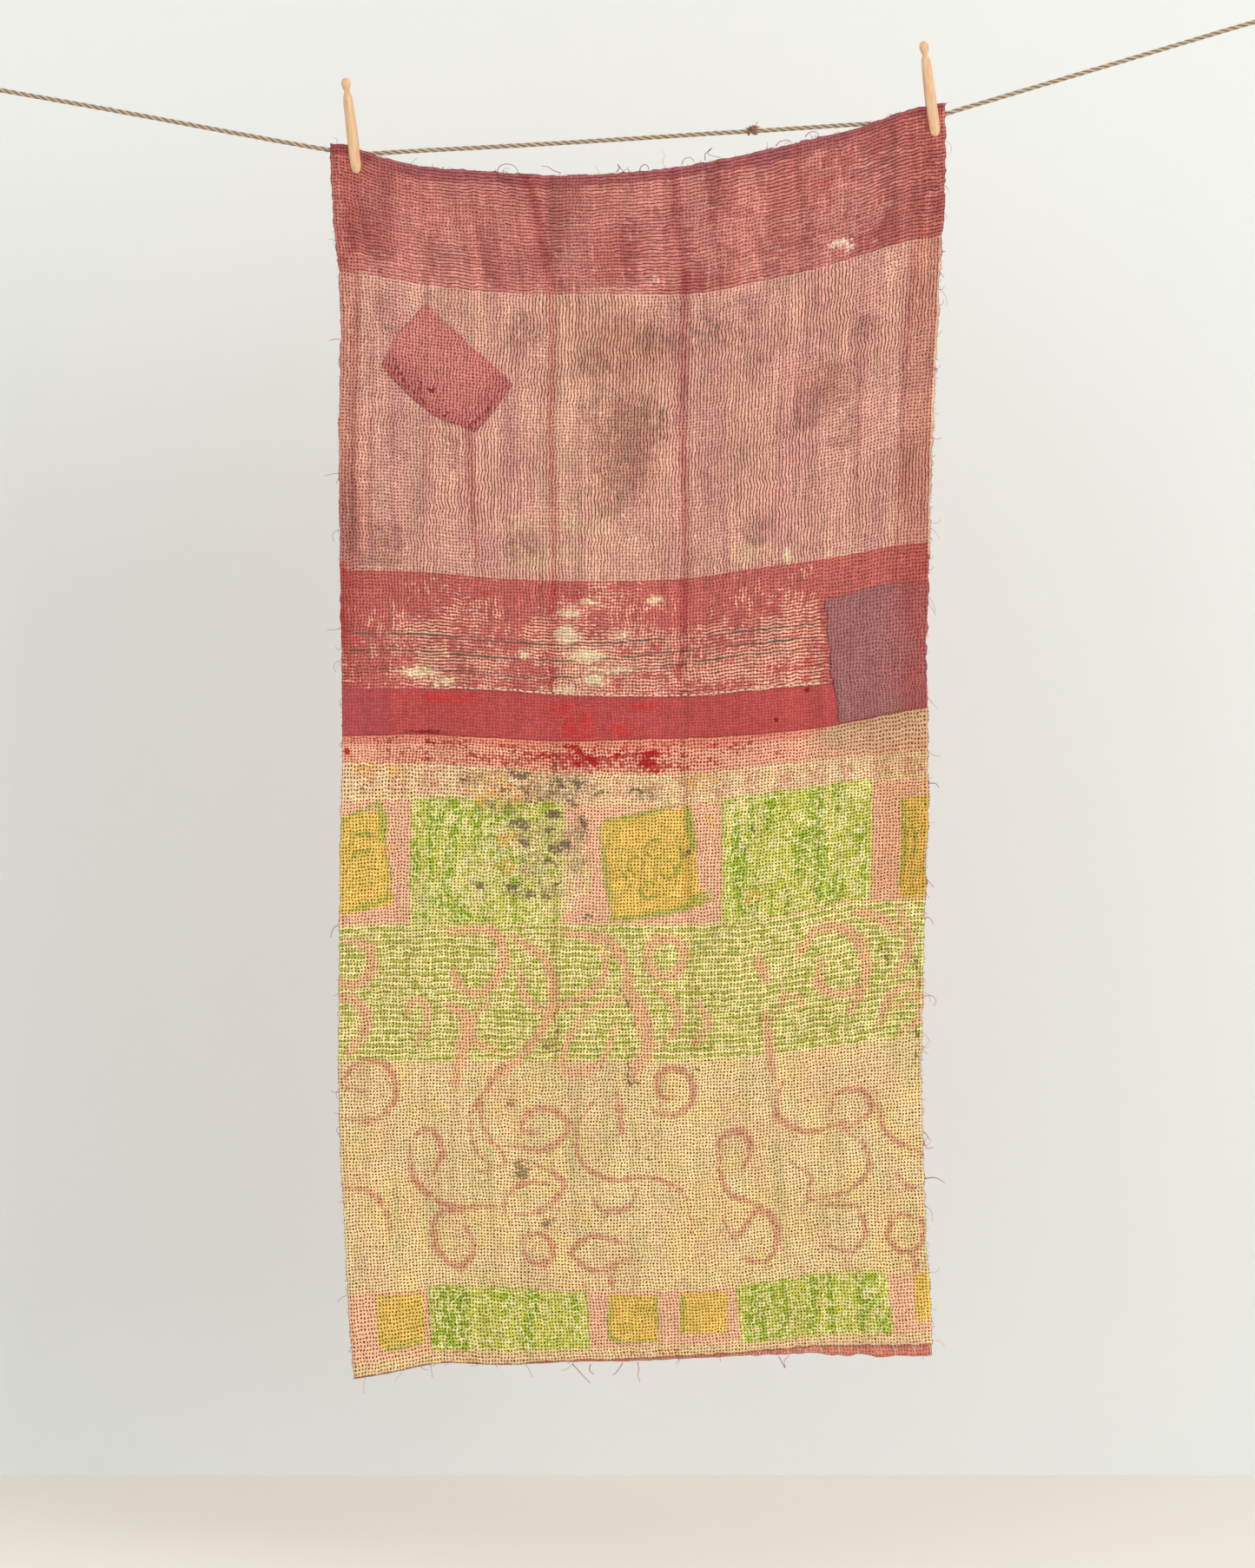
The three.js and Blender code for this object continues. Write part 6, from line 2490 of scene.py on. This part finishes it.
@dataclass
class Studio:
    """A pale wall and floor, one broad soft lamp from the right and an even sky, all in metres."""

    middle: Pair = (0.7855, -0.811)
    view_height: float = 1.806
    distance: float = 4.0
    object_front: float = -0.006
    sensor: float = 36.0
    wall_y: float = 0.8
    floor_z: float = -1.767
    wall: str = "#f2f5f4"
    floor: str = "#e8e3da"
    sky: float = 0.86

    # Each lamp: its name, place, size, power and colour.
    LAMPS = (
        ("window", (5.2, -4.4, 0.5), 3.6, 143.0, "#fffdfa"),
        ("bounce", (-2.6, -4.2, 0.2), 3.2, 22.0, "#ffffff"),
    )

    def camera(self) -> None:
        """A level camera square to the cloth; the picture is upright, so its height is the long side."""
        data = bpy.data.cameras.new("camera")
        data.sensor_width = self.sensor
        data.lens = self.sensor * self.distance / self.view_height
        data.clip_start, data.clip_end = 0.05, 50.0
        camera = bpy.data.objects.new("camera", data)
        camera.location = (self.middle[0], self.object_front - self.distance, self.middle[1])
        camera.rotation_euler = (math.pi / 2, 0.0, 0.0)
        bpy.context.scene.collection.objects.link(camera)
        bpy.context.scene.camera = camera

    def build(self) -> None:
        """Floor, wall, lamps and the plain colour view."""
        floor = [(x, y, self.floor_z) for x, y in ((-9, -9), (11, -9), (11, 9), (-9, 9))]
        wall = [(x, self.wall_y, self.floor_z + up) for x, up in ((-9, 0), (11, 0), (11, 7), (-9, 7))]
        self._plane("floor", self.floor, floor, False)
        self._plane("wall", self.wall, wall, True)
        for lamp in self.LAMPS:
            self._lamp(*lamp)
        bpy.context.scene.world = self._sky()
        bpy.context.scene.view_settings.view_transform = "Standard"

    def _sky(self) -> bpy.types.World:
        """An even white sky, which the camera and mirrors see as the wall's own colour.

        Returns:
            The world.
        """
        world = bpy.data.worlds.new("sky")
        world.use_nodes = True
        tree = world.node_tree
        tree.nodes.clear()
        rays = add_node(tree, "LightPath").node.outputs
        seen = (rays["Is Camera Ray"], rays["Is Glossy Ray"])
        direct = add_node(tree, "Math", seen, operation="MAXIMUM")
        lit = add_node(tree, "Background", {"Color": colour("#ffffff"), "Strength": self.sky})
        flat = add_node(tree, "Background", {"Color": colour(self.wall), "Strength": 1.0})
        add_node(tree, "OutputWorld", {"Surface": add_node(tree, "MixShader", (direct, lit, flat))})
        return world

    def _plane(self, name: str, code: str, points: list[tuple[float, ...]], one_sided: bool) -> None:
        """A flat stage piece; a one-sided one is clear from behind, so that the back can be looked at.

        Args:
            name: its name.
            code: its colour.
            points: its four corners, in metres.
            one_sided: whether it is clear from behind.
        """
        mesh = bpy.data.meshes.new(name)
        mesh.from_pydata(points, [], [(0, 1, 2, 3)])
        material, tree = new_material(f"matt paint, {name}")
        paint = add_node(tree, "BsdfDiffuse", {"Color": colour(code), "Roughness": 1.0})
        if one_sided:
            behind = add_node(tree, "NewGeometry", take="Backfacing")
            paint = add_node(tree, "MixShader", (behind, paint, add_node(tree, "BsdfTransparent")))
        add_node(tree, "OutputMaterial", {"Surface": paint})
        mesh.materials.append(material)
        plane = bpy.data.objects.new(name, mesh)
        bpy.context.scene.collection.objects.link(plane)

    def _lamp(self, name: str, place: tuple[float, ...], size: float, power: float, code: str) -> None:
        """A square area lamp aimed at the middle of the cloth.

        Args:
            name: its name.
            place: where it stands, in metres.
            size: its side, in metres.
            power: its power, in watts.
            code: its colour.
        """
        data = bpy.data.lights.new(name, "AREA")
        data.shape, data.size, data.energy, data.color = "SQUARE", size, power, colour(code)[:3]
        lamp = bpy.data.objects.new(name, data)
        lamp.location = place
        way = Vector((self.middle[0], 0.0, self.middle[1])) - Vector(place)
        lamp.rotation_euler = way.to_track_quat("-Z", "Y").to_euler()
        bpy.context.scene.collection.objects.link(lamp)


# --- assembly ---


def cottons() -> dict[str, QuiltedCotton]:
    """The finishes of the cloth's pieces, by piece.

    Returns:
        The finishes, each by its piece's short name.
    """
    strip = (
        Layer("shaded", "#b04e54", "#94383e", 22, 10, 30, 0.75),
        Layer("bright", "#cf2a26", "#ac1616", 4, 7, 5, 0.6),
        Layer("nicks", "#7c1418", "#5e0c10", 1.0, 1.0, 4, 0.9),
        Layer("drawn", "#a84446", "#8a3034", 1.5, 1.0, 6, 0.5),
    )
    diamond = (
        Layer("flush", "#d88c80", "#823a36", 20, 9, 18, 0.6),
        Layer("dusk", "#c06c68", "#641e22", 14, 6, 14, 0.65),
        Layer("marks", "#7c2428", "#4c0e12", 0.9, 1.0, 4, 0.9),
    )
    mauve = (
        Layer("slate", "#a26c6b", "#603c40", 14, 6, 16, 0.7),
        Layer("rosyedge", "#a8524e", "#6e2628", 12, 8, 16, 0.6),
    )
    backing = (
        Layer("paled", "#dc988a", "#b06c60", 12, 8, 40, 0.5),
        Layer("soiled", "#a86c52", "#84503c", 6, 6, 9, 0.5),
    )
    # The yellow cotton's stitches are pulled tighter, so that its dips are smaller; dip_shade darkens and
    # browns them, a painted shade in the dips.
    tight = {"dips": (0.3, 0.5), "dip_shade": (0.8, 0.64, 0.34)}
    tight.update({"loose": 0.65, "speckle": 0.18, "lines": 0.12})
    finishes = (
        ("upper", "rose sari", "#d18478", "#7e3632", UPPER_LAYERS, {"lines": 0.28, "streak": 0.27}),
        ("lower", "yellow sari", "#f6daa2", "#683c1e", LOWER_LAYERS, tight),
        ("strip", "red strip", "#ba504d", "#8c2a2a", strip, {"depth": 0.85, "puff_mm": 0.3}),
        ("diamond", "rose patch", "#d28278", "#7a302e", diamond, {"dips": (0.0, 0.6), "puff_mm": 0.3}),
        ("mauve", "mauve patch", "#a86662", "#5e2c2e", mauve, {"puff_mm": 0.35}),
        ("backing", "red-pink backing", "#d88872", "#9c5244", backing, {"streak": 0.2}),
    )
    return {
        piece: QuiltedCotton(f"{name} cotton", puff, valley, layers, **own)
        for piece, name, puff, valley, layers, own in finishes
    }


def build_cloth(thread: Finish) -> None:
    """Builds the cloth's sheets, stitches and threads.

    Args:
        thread: the finish of its stitches and loose threads.
    """
    finish, top, hem = cottons(), level("top"), level("hem")
    named = ("rose_sari_panel", "upper_panel", "rose_cotton")
    upper = Panel(*named, top, JOIN, finish["upper"], upper_distances)
    named = ("yellow_sari_panel", "lower_panel", "yellow_cotton")
    lower = Panel(*named, JOIN, hem, finish["lower"], lower_distances)
    (rose, rose_lattice), (yellow, yellow_lattice) = upper.build(), lower.build()
    above_strip = int((level("strip") - upper.first) / QUILTING.row)
    under_strip = int((level("seam") - lower.first) / QUILTING.row) + 1
    half = (under_strip + len(yellow_lattice["across"])) // 2
    # The yellow stitches are larger and less darkened: `darker` sets how much painted shade they carry.
    bold = {"darker": 0.74, "length": 1.6, "width": 1.15, "astray": 0.38}
    rows = slice(2, above_strip)
    rose_stitches = RunningStitches("rose_stitches").build(upper, rose_lattice, rows, thread)
    yellow_stitches = [
        RunningStitches(f"yellow_stitches_{part}", **bold).build(lower, yellow_lattice, rows, thread)
        for part, rows in (("upper", slice(under_strip, half)), ("lower", slice(half, -1)))
    ]
    patches, sewn = Patches(), SewnEdges()
    strip, diamond = patches.strip(finish["strip"]), patches.diamond(finish["diamond"])
    mauve, backing = patches.mauve(finish["mauve"]), Backing().build(finish["backing"])
    dashes, loops = sewn.dashes(thread), sewn.loops(thread)
    loose = Fray().build(thread)


def build_line(thread: Finish) -> None:
    """Args:
        thread: the tie's finish.
    """
    jute, line = JuteTwine().build(), JuteLine()
    path = line.centre_line()
    rope = line.rope(path, jute)
    mounts = {mount["name"]: np.array(mount["pos_m"]) / MM for mount in frame["record"]["mounts"]}
    left = line.end("left", mounts["left_eye"], path[0], jute)
    right = line.end("right", mounts["right_eye"], path[-1], jute)
    tie = line.tie(path, thread)
    line.piece("jute_rope_fibres", [line.hairs(path)], jute)


def main() -> None:
    """Builds the scene in order: camera, cords, pegs, cloth and studio."""
    logging.basicConfig(level=logging.INFO, format="%(message)s")
    studio = Studio()
    studio.camera()
    thread = SpunThread().build()
    build_line(thread)
    beech = TurnedBeech().build()
    Peg("peg_left", 465.3, -37.5, 6.8).build(beech)
    Peg("peg_right", 1131.3, 4.8, 7.4).build(beech)
    build_cloth(thread)
    studio.build()


if __name__ == "__main__":
    main()
